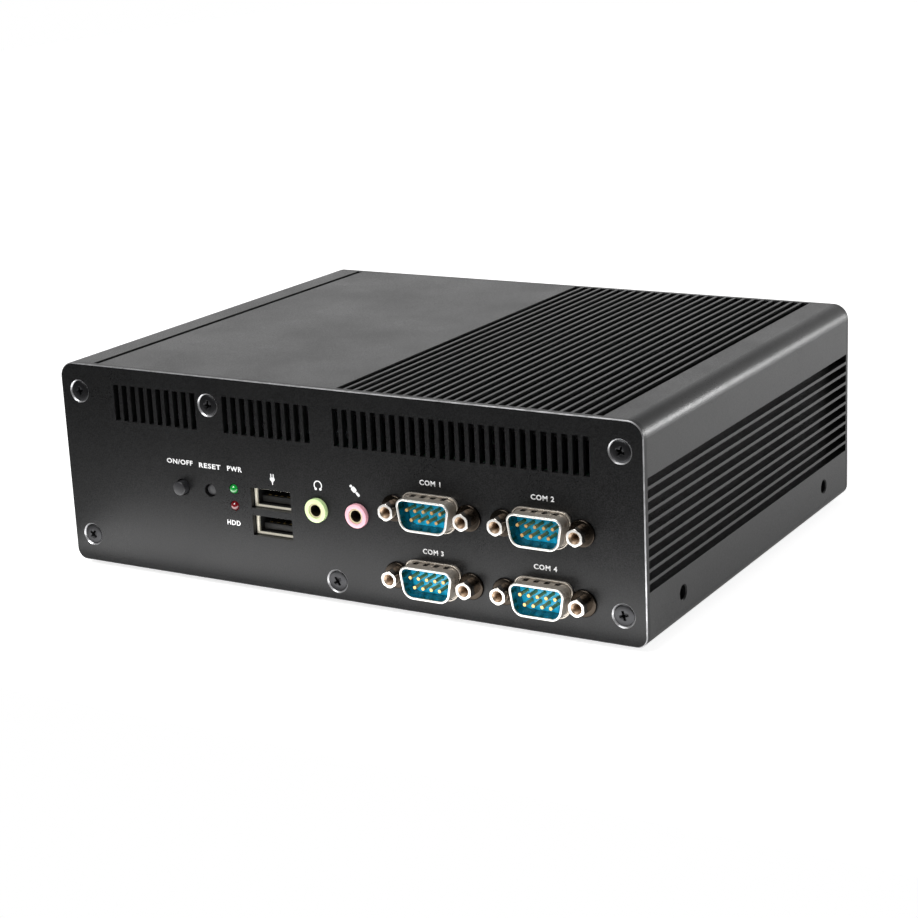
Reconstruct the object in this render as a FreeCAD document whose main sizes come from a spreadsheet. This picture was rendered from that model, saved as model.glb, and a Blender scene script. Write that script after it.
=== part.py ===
"""Fanless industrial PC: two interlocking aluminium extrusions closed by a front and a rear plate.

The right-hand extrusion is the heatsink: its roof and its side wall carry long fins. The front plate
holds four serial ports, two USB sockets, two audio jacks, two buttons and two lamps, all soldered to
one upright board. The main board lies on standoffs behind it and reaches the rear plate with its own
ports. A metal block carries the processor's heat up to the underside of the fins.

X runs to the right of the front plate, Y from the front to the rear, Z up. The origin is on the
surface the feet stand on, under the middle of the enclosure. Heights in the sheet are measured from
the enclosure's underside. What is soldered to the upright board is placed from that board's right
end, and the ports of the main board from the nearer end of that board.
"""
import FreeCAD, Part
import math
import os
import re
import Sketcher

doc = FreeCAD.newDocument("fanless_industrial_pc")
sheet = doc.addObject("Spreadsheet::Sheet", "Sizes")

# ---------------------------------------------------------------- driving sizes, millimetres
SIZES = {
    # enclosure
    "body_width": 202, "body_depth": 156, "body_height": 65,
    "panel_thickness": 2, "panel_edge_break": 0.3,
    "upper_corner": 5, "lower_corner": 3.5,
    "wall_thickness": 3, "roof_thickness": 3, "floor_thickness": 2.5,
    # fins of the heatsink extrusion
    "fin_pitch": 3.37, "fin_thickness": 0.95, "fin_height": 5, "fin_root": 2.5,
    "roof_groove_count": 26, "side_groove_count": 10,
    "roof_fins_to_side": 12.8, "side_fins_to_roof": 16.3, "root_margin": 1.4,
    # joint between the two extrusions
    "roof_lip": 12, "seam_gap": 2, "tongue_reach": 6, "tongue_thickness": 1.3, "tongue_play": 0.1,
    "floor_lip": 14, "floor_seam": 0.3,
    # screws of both end plates, and the channels they go into
    "screw_inset": 7.1, "upper_screw_drop": 9, "lower_screw_height": 8.9,
    "roof_screw_from_middle": 44.2, "floor_screw_from_middle": 0.7, "floor_screw_height": 5.9,
    "channel_radius": 3.8, "channel_web": 2.4, "channel_bore_depth": 14,
    "screw_shank": 3.4, "screw_length": 9, "screw_head": 6.3, "screw_head_height": 1.45,
    "screw_sink": 0.25, "screw_play": 0.1, "plate_hole_play": 0.3, "sink_play": 0.5,
    "cross_width": 0.9, "cross_length": 3.6, "cross_depth": 1.1,
    # threaded holes in both side walls
    "mount_hole": 4.3, "mount_hole_depth": 6, "mount_hole_spacing": 110, "mount_hole_offset": 1,
    "mount_mouth": 5,
    # ventilation slots
    "slot_width": 1.9, "slot_pitch": 3.27, "slot_length": 11.4, "slot_drop": 11.4,
    "slots_left_start": 80.2, "slots_left_count": 10, "slots_middle_start": 38.8,
    "slots_middle_count": 10, "slots_right_start": 1, "slots_right_count": 26,
    # feet
    "foot_height": 2, "foot_diameter": 12, "foot_inset_x": 24, "foot_inset_y": 20,
    # upright board behind the front plate
    "io_setback": 18, "board_thickness": 1.6, "io_board_inset": 13, "io_board_margin": 8,
    "io_board_height": 37, "io_board_lift": 4.5, "board_notch_play": 0.8,
    # buttons
    "button_height": 29, "power_from_end": 144, "power_cap": 4.4, "power_proud": 2.2,
    "reset_from_end": 133.6, "reset_cap": 3.4, "reset_sunk": 0.9, "button_play": 0.35,
    "button_travel": 0.5,
    "button_collar": 7, "collar_thickness": 0.8, "collar_gap": 0.3, "button_stem": 2.4,
    "switch_size": 6, "switch_length": 8, "switch_overlap": 1.2,
    # lamps
    "lamp_from_end": 124.7, "power_lamp_height": 30.5, "drive_lamp_height": 25.2, "lamp_diameter": 3,
    "lamp_rim": 3.8, "lamp_rim_thickness": 0.9, "lamp_proud": 0.9, "lamp_play": 0.12,
    "spacer_diameter": 4.6,
    # front USB sockets, one above the other
    "usb_from_end": 111.1, "usb_height": 24.2, "usb_pitch": 8.65, "usb_mouth_width": 12.5,
    "usb_mouth_height": 5.1, "usb_mouth_depth": 12, "usb_can_width": 14, "usb_can_height": 15.2,
    "usb_window_width": 14.5, "usb_window_height": 6.4, "sheet_metal": 0.4, "socket_gap": 0.1,
    "usb_tongue_width": 11.1, "usb_tongue_thickness": 1.9, "usb_tongue_back": 1.4,
    "usb_tongue_rise": 0.95, "usb_contact_width": 1, "usb_contact_thickness": 0.2,
    "usb_contact_pitch": 2.3, "usb_contact_length": 8, "usb_contact_back": 1, "usb_lip": 0.4,
    "usb_lip_side": 0.8, "usb_lip_edge": 0.5,
    # audio jacks
    "headphone_from_end": 94.4, "mic_from_end": 80.2, "jack_height": 27.5, "jack_ring": 7.3,
    "jack_proud": 1.2,
    "jack_play": 0.2, "jack_block_width": 9.5, "jack_block_height": 11, "jack_bore": 3.6,
    "jack_bore_depth": 14, "jack_sleeve": 4.7, "jack_sleeve_length": 5, "jack_sleeve_sunk": 0.35,
    # serial ports
    "com_from_end": 18.7, "com_pitch_x": 36.1, "com_upper_height": 31.4, "com_lower_height": 10.9,
    "port_reach": 5.2, "port_width": 18.3, "port_tall": 9.8, "port_taper": 0.176,
    "port_corner": 2.9, "port_wall": 0.7, "port_flange_width": 30.8, "port_flange_tall": 12.4,
    "port_flange": 1, "port_play": 0.4, "port_core_play": 0.05, "port_core_sunk": 5.4,
    "port_core_width": 19.4, "port_core_tall": 10.6, "pin_diameter": 1, "pin_play": 0.05,
    "pin_sunk": 0.9, "pin_pitch": 2.77, "pin_row_pitch": 2.84,
    # jackscrews beside each D-shaped port
    "jackscrew_spacing": 24.99, "jackscrew_across": 5, "jackscrew_reach": 5, "jackscrew_washer": 8,
    "jackscrew_washer_thickness": 0.8, "jackscrew_thread": 2.8, "jackscrew_stud": 4,
    "jackscrew_bore": 2.4, "jackscrew_bore_depth": 4, "jackscrew_mouth": 3.6,
    "jackscrew_hole_play": 0.2,
    # main board
    "main_side_gap": 18.5, "main_depth": 115, "main_to_rear": 1, "standoff_height": 8,
    "standoff_diameter": 5.5, "board_hole_inset": 5, "board_hole": 3.2, "board_screw_head": 5.2,
    "board_screw_head_height": 1.6, "board_screw_shank": 2.9, "board_screw_length": 5,
    # processor and the block that carries its heat to the fins
    "chip_x": 38, "chip_y": 16, "chip_size": 34, "chip_height": 2.4, "heat_block": 42,
    "pad_thickness": 0.6, "heat_block_gap": 0.1,
    # memory
    "memory_x": 22, "memory_y": 28, "memory_width": 67.6, "memory_length": 30, "memory_thickness": 1.2,
    "memory_socket_width": 72, "memory_socket_depth": 7, "memory_socket_height": 5.2,
    "memory_slot_height": 2.6, "memory_slot_depth": 4,
    # clock battery
    "battery_from_end": 16.5, "battery_from_front": 16, "battery_diameter": 20, "battery_thickness": 3.2,
    "holder_diameter": 23, "holder_height": 5.4, "holder_play": 0.2,
    # components of the power stage
    "coil_size": 10, "coil_height": 5, "coil_pitch": 14, "coil_count": 4, "coil_from_rear": 23,
    "can_diameter": 8, "can_height": 10, "can_pitch": 12, "can_count": 5, "can_row_y": 14,
    "can_from_end": 8,
    # connector between the two boards
    "link_x": 28, "link_width": 52, "link_height": 8, "link_overlap": 6,
    # drive in its bracket under the plain part of the roof
    "drive_y": 4, "drive_width": 69.85, "drive_length": 100, "drive_height": 7,
    "bracket_sheet": 1.2, "bracket_foot": 8, "bracket_tab": 14, "bracket_lip": 5, "tab_gap": 3,
    "bracket_play": 0.15, "drive_to_channel": 0.8,
    "drive_screw_shank": 2.8, "drive_screw_head": 5, "drive_screw_head_height": 1.2,
    "drive_screw_depth": 2.5,
    # ports on the rear edge of the main board
    "rear_sunk": 0.3, "cutout_play": 0.35,
    "inlet_from_end": 17.5, "inlet_width": 9, "inlet_depth": 14, "inlet_height": 11, "inlet_bore": 6.3,
    "inlet_bore_depth": 9.5, "inlet_pin": 2, "inlet_pin_sunk": 1,
    "vga_from_end": 42.5, "vga_core_depth": 15,
    "vga_core_width": 19.4, "vga_core_tall": 10.6, "vga_hole_pitch": 2.29, "vga_row_pitch": 1.98,
    "vga_hole": 0.9, "vga_hole_depth": 5, "hdmi_from_end": 68.5, "hdmi_width": 15, "hdmi_height": 6.2,
    "hdmi_depth": 11.5, "hdmi_mouth_width": 14, "hdmi_mouth_height": 4.5, "hdmi_mouth_depth": 9,
    "hdmi_tongue_width": 11, "hdmi_tongue_thickness": 1, "lan_from_end": 21.5, "lan_pitch": 21,
    "lan_width": 16.8, "lan_depth": 21, "lan_height": 29, "lan_mouth_width": 12,
    "lan_mouth_height": 9, "lan_mouth_depth": 14, "lan_mouth_drop": 2.2, "lan_usb_rise": 4.2,
    "lan_usb_pitch": 7.4,
}

for row, (alias, number) in enumerate(SIZES.items(), start=1):
    sheet.set("A%d" % row, alias.replace("_", " "))
    sheet.set("B%d" % row, str(number))
    sheet.setAlias("B%d" % row, alias)
doc.recompute()

# ---------------------------------------------------------------- places used by several pieces
RIGHT = "body_width/2"
FRONT = "-body_depth/2"
REAR = "body_depth/2"
FRONT_INSIDE = "(panel_thickness - body_depth/2)"
REAR_INSIDE = "(body_depth/2 - panel_thickness)"
EXTRUSION = "(body_depth - 2*panel_thickness)"
ROOF_UNDERSIDE = "(body_height - roof_thickness)"
FIN_UNDERSIDE = "(body_height - fin_height - fin_root)"
UPPER_SCREW = "(body_height - upper_screw_drop)"
IO_FRONT = "(panel_thickness - body_depth/2 + io_setback)"
IO_REAR = "(panel_thickness - body_depth/2 + io_setback + board_thickness)"
IO_RIGHT = "(body_width/2 - io_board_inset)"
POWER_X = IO_RIGHT + " - power_from_end"
RESET_X = IO_RIGHT + " - reset_from_end"
LAMP_X = IO_RIGHT + " - lamp_from_end"
USB_X = IO_RIGHT + " - usb_from_end"
HEADPHONE_X = IO_RIGHT + " - headphone_from_end"
MIC_X = IO_RIGHT + " - mic_from_end"
MAIN_UNDERSIDE = "(floor_thickness + standoff_height)"
MAIN_TOP = "(floor_thickness + standoff_height + board_thickness)"
MAIN_REAR = "(body_depth/2 - panel_thickness - main_to_rear)"
MAIN_FRONT = "(body_depth/2 - panel_thickness - main_to_rear - main_depth)"
MAIN_RIGHT = "(body_width/2 - main_side_gap)"
MAIN_LEFT = "(main_side_gap - body_width/2)"
INLET_X = MAIN_RIGHT + " - inlet_from_end"
VGA_X = MAIN_RIGHT + " - vga_from_end"
HDMI_X = MAIN_LEFT + " + hdmi_from_end"

WORD = re.compile(r"[a-z][a-z_]*(?![a-z_(])")
nodes = []


def bound(formula):
    """The formula with every size written as a reference to its cell."""
    return WORD.sub(lambda word: "Sizes." + word.group(0), formula)


def number(alias):
    return float(sheet.get(alias))


def bind(piece, **formulas):
    for name, formula in formulas.items():
        piece.setExpression(name, bound(formula))
    return piece


def put(piece, x="0", y="0", z="0", turn=None):
    """Place a piece by its own origin, after an optional fixed turn."""
    if turn:
        piece.Placement = FreeCAD.Placement(FreeCAD.Vector(), turn)
    for axis, formula in (("x", x), ("y", y), ("z", z)):
        piece.setExpression("Placement.Base." + axis, bound(formula))
    return piece


def lift(height):
    """A height above the enclosure's underside, as a height above the ground."""
    return "foot_height + " + height


def node(label, piece):
    piece.Label = label
    nodes.append(piece)
    return piece


# ---------------------------------------------------------------- plain solids
ALONG_Y = FreeCAD.Rotation(FreeCAD.Vector(1, 0, 0), -90)
ALONG_X = FreeCAD.Rotation(FreeCAD.Vector(0, 1, 0), 90)
ALONG_MINUS_X = FreeCAD.Rotation(FreeCAD.Vector(0, 1, 0), -90)
HALF_TURN = FreeCAD.Rotation(FreeCAD.Vector(0, 0, 1), 180)


def block(x, y, z, width, depth, height):
    """A box standing on z, centred on x, running from y towards the rear."""
    piece = doc.addObject("Part::Box", "Block")
    bind(piece, Length=width, Width=depth, Height=height)
    return put(piece, "%s - (%s)/2" % (x, width), y, z)


def rod(x, y, z, diameter, length, turn=ALONG_Y):
    """A round bar that starts at the point and runs along its turned axis."""
    piece = doc.addObject("Part::Cylinder", "Rod")
    bind(piece, Radius="(%s)/2" % diameter, Height=length)
    return put(piece, x, y, z, turn)


def taper(x, y, z, start, end, length, turn=ALONG_Y):
    """A round bar whose diameter runs evenly from start to end."""
    piece = doc.addObject("Part::Cone", "Taper")
    bind(piece, Radius1="(%s)/2" % start, Radius2="(%s)/2" % end, Height=length)
    return put(piece, x, y, z, turn)


def ball_end(x, y, z, diameter):
    piece = doc.addObject("Part::Sphere", "Ball")
    bind(piece, Radius="(%s)/2" % diameter)
    return put(piece, x, y, z)


def joined(pieces):
    piece = doc.addObject("Part::MultiFuse", "Joined")
    piece.Shapes = pieces
    return piece


def cut(base, tools):
    piece = doc.addObject("Part::Cut", "Cut")
    piece.Base = base
    piece.Tool = tools[0] if len(tools) == 1 else joined(tools)
    return piece


def group(pieces):
    """Separate identical solids that make one node."""
    piece = doc.addObject("Part::Compound", "Group")
    piece.Links = pieces
    return piece


# ---------------------------------------------------------------- sketched bodies
def plane(body, role):
    return next(item for item in body.Origin.OriginFeatures if item.Role == role)


def outline(body, role, offset, corners):
    """A closed outline of straight lines on one of the body's planes, each corner bound to the sheet."""
    sketch = body.newObject("Sketcher::SketchObject", "Outline")
    sketch.AttachmentSupport = [(plane(body, role), "")]
    sketch.MapMode = "FlatFace"
    count = len(corners)
    ring = [FreeCAD.Vector(math.cos(2*math.pi*i/count), math.sin(2*math.pi*i/count), 0)
            for i in range(count)]
    for i in range(count):
        sketch.addGeometry(Part.LineSegment(ring[i], ring[(i + 1) % count]))
    for i in range(count):
        sketch.addConstraint(Sketcher.Constraint("Coincident", i, 2, (i + 1) % count, 1))
    for i, corner in enumerate(corners):
        for kind, formula in zip(("DistanceX", "DistanceY"), corner):
            index = sketch.addConstraint(Sketcher.Constraint(kind, -1, 1, i, 1, 1.0))
            sketch.setExpression("Constraints[%d]" % index, bound(formula))
    sketch.setExpression(".AttachmentOffset.Base.z", bound(offset))
    return sketch


def rectangle(left, bottom, right, top):
    return [(left, bottom), (right, bottom), (right, top), (left, top)]


def circles(body, role, offset, rounds):
    """Circles given as centre across, centre up and diameter."""
    sketch = body.newObject("Sketcher::SketchObject", "Circles")
    sketch.AttachmentSupport = [(plane(body, role), "")]
    sketch.MapMode = "FlatFace"
    for i, (across, up, diameter) in enumerate(rounds):
        sketch.addGeometry(Part.Circle(FreeCAD.Vector(10*i, 0, 0), FreeCAD.Vector(0, 0, 1), 1))
        for kind, formula in (("DistanceX", across), ("DistanceY", up)):
            index = sketch.addConstraint(Sketcher.Constraint(kind, -1, 1, i, 3, 1.0))
            sketch.setExpression("Constraints[%d]" % index, bound(formula))
        index = sketch.addConstraint(Sketcher.Constraint("Diameter", i, 2.0))
        sketch.setExpression("Constraints[%d]" % index, bound(diameter))
    sketch.setExpression(".AttachmentOffset.Base.z", bound(offset))
    return sketch


def pad(body, sketch, length, both_ways=False):
    feature = body.newObject("PartDesign::Pad", "Pad")
    feature.Profile = sketch
    feature.Midplane = both_ways
    bind(feature, Length=length)
    doc.recompute()
    return feature


def pocket(body, sketch, length, both_ways=False):
    before = body.Shape.Volume
    feature = body.newObject("PartDesign::Pocket", "Pocket")
    feature.Profile = sketch
    feature.Midplane = both_ways
    bind(feature, Length=length)
    doc.recompute()
    assert body.Shape.Volume < before, "a pocket of %s cuts nothing" % body.Label
    return feature


def repeat(body, feature, sketch, axis, pitch, count, backwards=False):
    pattern = body.newObject("PartDesign::LinearPattern", "Row")
    pattern.Originals = [feature]
    pattern.Direction = (sketch, [axis])
    pattern.Reversed = backwards
    bind(pattern, Length="%s*(%s - 1)" % (pitch, count), Occurrences=count)
    body.Tip = pattern
    doc.recompute()
    return pattern


def long_edges(feature, x, z):
    """Names of the edges along Y at one corner of a cross-section."""
    return ["Edge%d" % (i + 1) for i, edge in enumerate(feature.Shape.Edges)
            if isinstance(edge.Curve, Part.Line)
            and abs(abs(edge.tangentAt(edge.FirstParameter).y) - 1) < 1e-6
            and math.hypot(edge.CenterOfMass.x - x, edge.CenterOfMass.z - z) < 1e-3]


def rounded(body, feature, places, radius):
    """Round the long edges that stand at the given places of the cross-section."""
    names = [name for x, z in places for name in long_edges(feature, x, z)]
    fillet = body.newObject("PartDesign::Fillet", "Rounded")
    fillet.Base = (feature, names)
    bind(fillet, Radius=radius)
    body.Tip = fillet
    doc.recompute()
    return fillet


def new_body(label):
    body = doc.addObject("PartDesign::Body", "Body")
    body.Label = label
    return body


def d_prism(label, width, tall, corner, length):
    """A D-shaped bar, wide side up, from its own origin towards the front."""
    body = new_body(label)
    half = "(%s)/2" % width
    low = "((%s)/2 - port_taper*(%s))" % (width, tall)
    up = "(%s)/2" % tall
    sketch = outline(body, "XZ_Plane", "0",
                     [("-" + low, "-" + up), (low, "-" + up), (half, up), ("-" + half, up)])
    feature = pad(body, sketch, length)
    names = ["Edge%d" % (i + 1) for i, edge in enumerate(feature.Shape.Edges)
             if abs(abs(edge.tangentAt(edge.FirstParameter).y) - 1) < 1e-6]
    fillet = body.newObject("PartDesign::Fillet", "Rounded")
    fillet.Base = (feature, names)
    bind(fillet, Radius=corner)
    body.Tip = fillet
    return body


# ---------------------------------------------------------------- where the end-plate screws go
SCREW_LEFT = "-(body_width/2 - screw_inset)"
SCREW_RIGHT = "(body_width/2 - screw_inset)"
BASE_SCREWS = [
    (SCREW_LEFT, UPPER_SCREW),
    (SCREW_LEFT, "lower_screw_height"),
    ("-floor_screw_from_middle", "floor_screw_height"),
]
COVER_SCREWS = [
    (SCREW_RIGHT, UPPER_SCREW),
    (SCREW_RIGHT, "lower_screw_height"),
    ("-roof_screw_from_middle", UPPER_SCREW),
]


def channel_bores(places):
    """Blind bores in the screw channels, at both ends of an extrusion."""
    bores = []
    for x, height in places:
        for start in (FRONT_INSIDE, REAR_INSIDE + " - channel_bore_depth"):
            bores.append(rod(x, start, lift(height), "screw_shank + screw_play", "channel_bore_depth"))
    return bores


def mount_bores(side, offset, turn):
    """Two threaded holes with a chamfered mouth, cut inwards from one side wall."""
    bores = []
    for place in (" - mount_hole_spacing/2", " + mount_hole_spacing/2"):
        y = offset + place
        height = lift("lower_screw_height")
        bores.append(rod(side, y, height, "mount_hole", "mount_hole_depth", turn))
        bores.append(taper(side, y, height, "mount_mouth", "mount_hole",
                           "(mount_mouth - mount_hole)/2", turn))
    return bores


# ---------------------------------------------------------------- the two extrusions
def make_finned_cover():
    """Roof and right wall in one extrusion, with long fins on both."""
    body = new_body("finned_cover_section")
    left = "(roof_lip + seam_gap - body_width/2)"
    groove = "(fin_pitch - fin_thickness)"
    roof_last = "(body_width/2 - roof_fins_to_side)"
    roof_field = "(fin_pitch*(roof_groove_count - 1) + fin_pitch - fin_thickness)"
    side_first = "(body_height - side_fins_to_roof)"
    side_field = "(fin_pitch*(side_groove_count - 1) + fin_pitch - fin_thickness)"

    sections = [
        rectangle(left, ROOF_UNDERSIDE, RIGHT, "body_height"),
        rectangle("(body_width/2 - wall_thickness)", "0", RIGHT, "body_height"),
        rectangle(roof_last + " - %s - root_margin" % roof_field, FIN_UNDERSIDE,
                  roof_last + " + root_margin", "body_height"),
        rectangle("(body_width/2 - fin_height - fin_root)", side_first + " - %s - root_margin" % side_field,
                  RIGHT, side_first + " + root_margin"),
        rectangle("(body_width/2 - floor_lip)", "0", RIGHT, "floor_thickness"),
        rectangle(SCREW_RIGHT, UPPER_SCREW + " - channel_radius", RIGHT,
                  UPPER_SCREW + " + channel_radius"),
        rectangle(SCREW_RIGHT, "(lower_screw_height - channel_radius)", RIGHT,
                  "(lower_screw_height + channel_radius)"),
        rectangle("(-roof_screw_from_middle - channel_web/2)", UPPER_SCREW,
                  "(channel_web/2 - roof_screw_from_middle)", ROOF_UNDERSIDE),
    ]
    for corners in sections:
        feature = pad(body, outline(body, "XZ_Plane", "0", corners), EXTRUSION, both_ways=True)
    for x, height in COVER_SCREWS:
        sketch = circles(body, "XZ_Plane", "0", [(x, height, "2*channel_radius")])
        feature = pad(body, sketch, EXTRUSION, both_ways=True)
    half = number("body_width")/2
    feature = rounded(body, feature, [(half, number("body_height"))], "upper_corner")
    feature = rounded(body, feature, [(half, 0)], "lower_corner")

    sketch = outline(body, "XZ_Plane", "0", rectangle(
        roof_last + " - " + groove, "(body_height - fin_height)", roof_last,
        "(body_height + fin_height)"))
    feature = pocket(body, sketch, EXTRUSION, both_ways=True)
    repeat(body, feature, sketch, "H_Axis", "fin_pitch", "roof_groove_count", backwards=True)
    sketch = outline(body, "XZ_Plane", "0", rectangle(
        "(body_width/2 - fin_height)", side_first + " - " + groove, "(body_width/2 + fin_height)",
        side_first))
    feature = pocket(body, sketch, EXTRUSION, both_ways=True)
    repeat(body, feature, sketch, "V_Axis", "fin_pitch", "side_groove_count", backwards=True)

    put(body, z="foot_height")
    tools = channel_bores(COVER_SCREWS) + mount_bores(RIGHT, "mount_hole_offset", ALONG_MINUS_X)
    for x, y in bracket_feet():
        tools.append(rod(x, y, lift(ROOF_UNDERSIDE), "drive_screw_shank", "drive_screw_depth",
                         FreeCAD.Rotation()))
    node("finned_cover", cut(body, tools))


def make_base_channel():
    """Floor, left wall and roof lip in one extrusion."""
    body = new_body("base_channel_section")
    left = "-body_width/2"
    inner = "(wall_thickness - body_width/2)"
    floor_end = "(body_width/2 - floor_lip - floor_seam)"
    roof_tongue_top = "(body_height - roof_thickness - tongue_play)"
    roof_tongue_low = "(body_height - roof_thickness - tongue_play - tongue_thickness)"
    lip_end = "(roof_lip - body_width/2)"
    floor_tongue_low = "(floor_thickness + tongue_play)"
    floor_tongue_top = "(floor_thickness + tongue_play + tongue_thickness)"
    sections = [
        rectangle(left, "0", floor_end, "floor_thickness"),
        rectangle(left, "0", inner, "body_height"),
        rectangle(left, roof_tongue_low, lip_end, "body_height"),
        rectangle(left, roof_tongue_low, lip_end + " + seam_gap + tongue_reach", roof_tongue_top),
        rectangle(floor_end + " - tongue_reach", "0", floor_end, floor_tongue_top),
        rectangle(floor_end + " - tongue_reach", floor_tongue_low, floor_end + " + tongue_reach",
                  floor_tongue_top),
        rectangle(left, UPPER_SCREW + " - channel_radius", SCREW_LEFT,
                  UPPER_SCREW + " + channel_radius"),
        rectangle(left, "(lower_screw_height - channel_radius)", SCREW_LEFT,
                  "(lower_screw_height + channel_radius)"),
        rectangle("(-floor_screw_from_middle - channel_radius)", "0",
                  "(channel_radius - floor_screw_from_middle)", "floor_screw_height"),
    ]
    for corners in sections:
        feature = pad(body, outline(body, "XZ_Plane", "0", corners), EXTRUSION, both_ways=True)
    for x, height in BASE_SCREWS:
        sketch = circles(body, "XZ_Plane", "0", [(x, height, "2*channel_radius")])
        feature = pad(body, sketch, EXTRUSION, both_ways=True)
    half = number("body_width")/2
    feature = rounded(body, feature, [(-half, number("body_height"))], "upper_corner")
    rounded(body, feature, [(-half, 0)], "lower_corner")

    put(body, z="foot_height")
    tools = channel_bores(BASE_SCREWS) + mount_bores("-body_width/2", "-mount_hole_offset", ALONG_X)
    for x, y in standoff_places():
        tools.append(rod(x, y, "foot_height", "board_screw_shank", "floor_thickness", FreeCAD.Rotation()))
    node("base_channel", cut(body, tools))


# ---------------------------------------------------------------- end plates
def plate_blank(label, offset):
    """The rounded outline of the enclosure as a plate, its outer face towards the front."""
    body = new_body(label)
    sketch = outline(body, "XZ_Plane", offset, rectangle("-body_width/2", "0", RIGHT, "body_height"))
    feature = pad(body, sketch, "panel_thickness")
    half = number("body_width")/2
    tall = number("body_height")
    feature = rounded(body, feature, [(-half, tall), (half, tall)], "upper_corner")
    return body, rounded(body, feature, [(-half, 0), (half, 0)], "lower_corner")


def break_outer_edge(body, feature, face_y):
    """A small chamfer round the plate's outer face."""
    names = ["Edge%d" % (i + 1) for i, edge in enumerate(feature.Shape.Edges)
             if abs(edge.BoundBox.YMin - face_y) < 1e-6 and abs(edge.BoundBox.YMax - face_y) < 1e-6]
    chamfer = body.newObject("PartDesign::Chamfer", "Edge")
    chamfer.Base = (feature, names)
    bind(chamfer, Size="panel_edge_break")
    body.Tip = chamfer
    doc.recompute()


def slot_row(body, face, start, count):
    """One row of upright ventilation slots, starting at its left end."""
    low = "(body_height - slot_drop - slot_length/2)"
    high = "(body_height - slot_drop + slot_length/2)"
    sketch = outline(body, "XZ_Plane", face, rectangle(start, low, start + " + slot_width", high))
    first = pocket(body, sketch, "panel_thickness")
    repeat(body, first, sketch, "H_Axis", "slot_pitch", count)


def screw_holes(face, turn):
    """Clearance holes with countersinks for all six screws of one end plate."""
    tools = []
    for x, height in BASE_SCREWS + COVER_SCREWS:
        z = lift(height)
        hole = "screw_shank + 2*plate_hole_play"
        mouth = "screw_head + sink_play + 2*screw_sink"
        tools.append(rod(x, face, z, hole, "panel_thickness", turn))
        tools.append(taper(x, face, z, mouth, hole, "(%s - (%s))/2" % (mouth, hole), turn))
    return tools


def port_cutout(x, y, z):
    """The D-shaped opening that lets one port shell through an end plate, from y forwards."""
    prism = d_prism("port_cutout", "port_width + 2*port_play", "port_tall + 2*port_play",
                    "port_corner + port_play", "panel_thickness")
    return put(prism, x, y, z)


def jackscrew_holes(x, y, z):
    hole = "jackscrew_thread + 2*jackscrew_hole_play"
    return [rod("%s %s jackscrew_spacing/2" % (x, sign), y, z, hole, "panel_thickness")
            for sign in ("-", "+")]


def make_front_panel():
    face = "body_depth/2"
    body, feature = plate_blank("front_panel_blank", face + " - panel_thickness")
    break_outer_edge(body, feature, -number("body_depth")/2)
    slot_row(body, face, "-slots_left_start", "slots_left_count")
    slot_row(body, face, "-slots_middle_start", "slots_middle_count")
    slot_row(body, face, "slots_right_start", "slots_right_count")
    put(body, z="foot_height")

    tools = screw_holes(FRONT, ALONG_Y)
    rounds = [
        (POWER_X, "button_height", "power_cap + 2*button_play"),
        (RESET_X, "button_height", "reset_cap + 2*button_play"),
        (LAMP_X, "power_lamp_height", "lamp_diameter + 2*lamp_play"),
        (LAMP_X, "drive_lamp_height", "lamp_diameter + 2*lamp_play"),
        (HEADPHONE_X, "jack_height", "jack_ring + 2*jack_play"),
        (MIC_X, "jack_height", "jack_ring + 2*jack_play"),
    ]
    for x, height, diameter in rounds:
        tools.append(rod(x, FRONT, lift(height), diameter, "panel_thickness"))
    for step in ("-", "+"):
        low = "usb_height %s usb_pitch/2 - usb_window_height/2" % step
        tools.append(block(USB_X, FRONT, lift(low), "usb_window_width", "panel_thickness",
                           "usb_window_height"))
    for x, height in com_places():
        tools.append(port_cutout(x, FRONT_INSIDE, lift(height)))
        tools += jackscrew_holes(x, FRONT, lift(height))
    node("front_panel", cut(body, tools))


def make_rear_panel():
    """The plate that closes the rear, with cut-outs for the main board's own ports."""
    inside = "-(body_depth/2 - panel_thickness)"
    body, feature = plate_blank("rear_panel_blank", "-body_depth/2")
    break_outer_edge(body, feature, number("body_depth")/2)
    slot_row(body, inside, "slots_right_start", "slots_right_count")
    slot_row(body, inside, "-slots_left_start", "slots_left_count")
    put(body, z="foot_height")

    tools = screw_holes(REAR, FreeCAD.Rotation(FreeCAD.Vector(1, 0, 0), 90))
    board_ports = [
        (INLET_X, "inlet_width", "inlet_height"),
        (HDMI_X, "hdmi_width", "hdmi_height"),
    ] + [(x, "lan_width", "lan_height") for x in lan_places()]
    for x, width, height in board_ports:
        tools.append(block(x, REAR_INSIDE, lift(MAIN_TOP + " - cutout_play"), width + " + 2*cutout_play",
                           "panel_thickness", height + " + 2*cutout_play"))
    tools.append(port_cutout(VGA_X, REAR, lift(VGA_HEIGHT)))
    tools += jackscrew_holes(VGA_X, REAR_INSIDE, lift(VGA_HEIGHT))
    node("rear_panel", cut(body, tools))


def panel_screw():
    """A countersunk cross-head screw, its face at its own origin and its shank along +Y."""
    head = taper("0", "0", "0", "screw_head", "screw_shank", "screw_head_height")
    shank = rod("0", "0", "0", "screw_shank", "screw_length")
    across = block("0", "0", "-cross_width/2", "cross_length", "cross_depth", "cross_width")
    upright = block("0", "0", "-cross_length/2", "cross_width", "cross_depth", "cross_length")
    return cut(joined([head, shank]), [across, upright])


def make_panel_screws():
    screws = []
    for x, height in BASE_SCREWS + COVER_SCREWS:
        screws.append(put(panel_screw(), x, FRONT + " + screw_sink", lift(height)))
        screws.append(put(panel_screw(), x, REAR + " - screw_sink", lift(height), HALF_TURN))
    node("panel_screws", group(screws))


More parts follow.
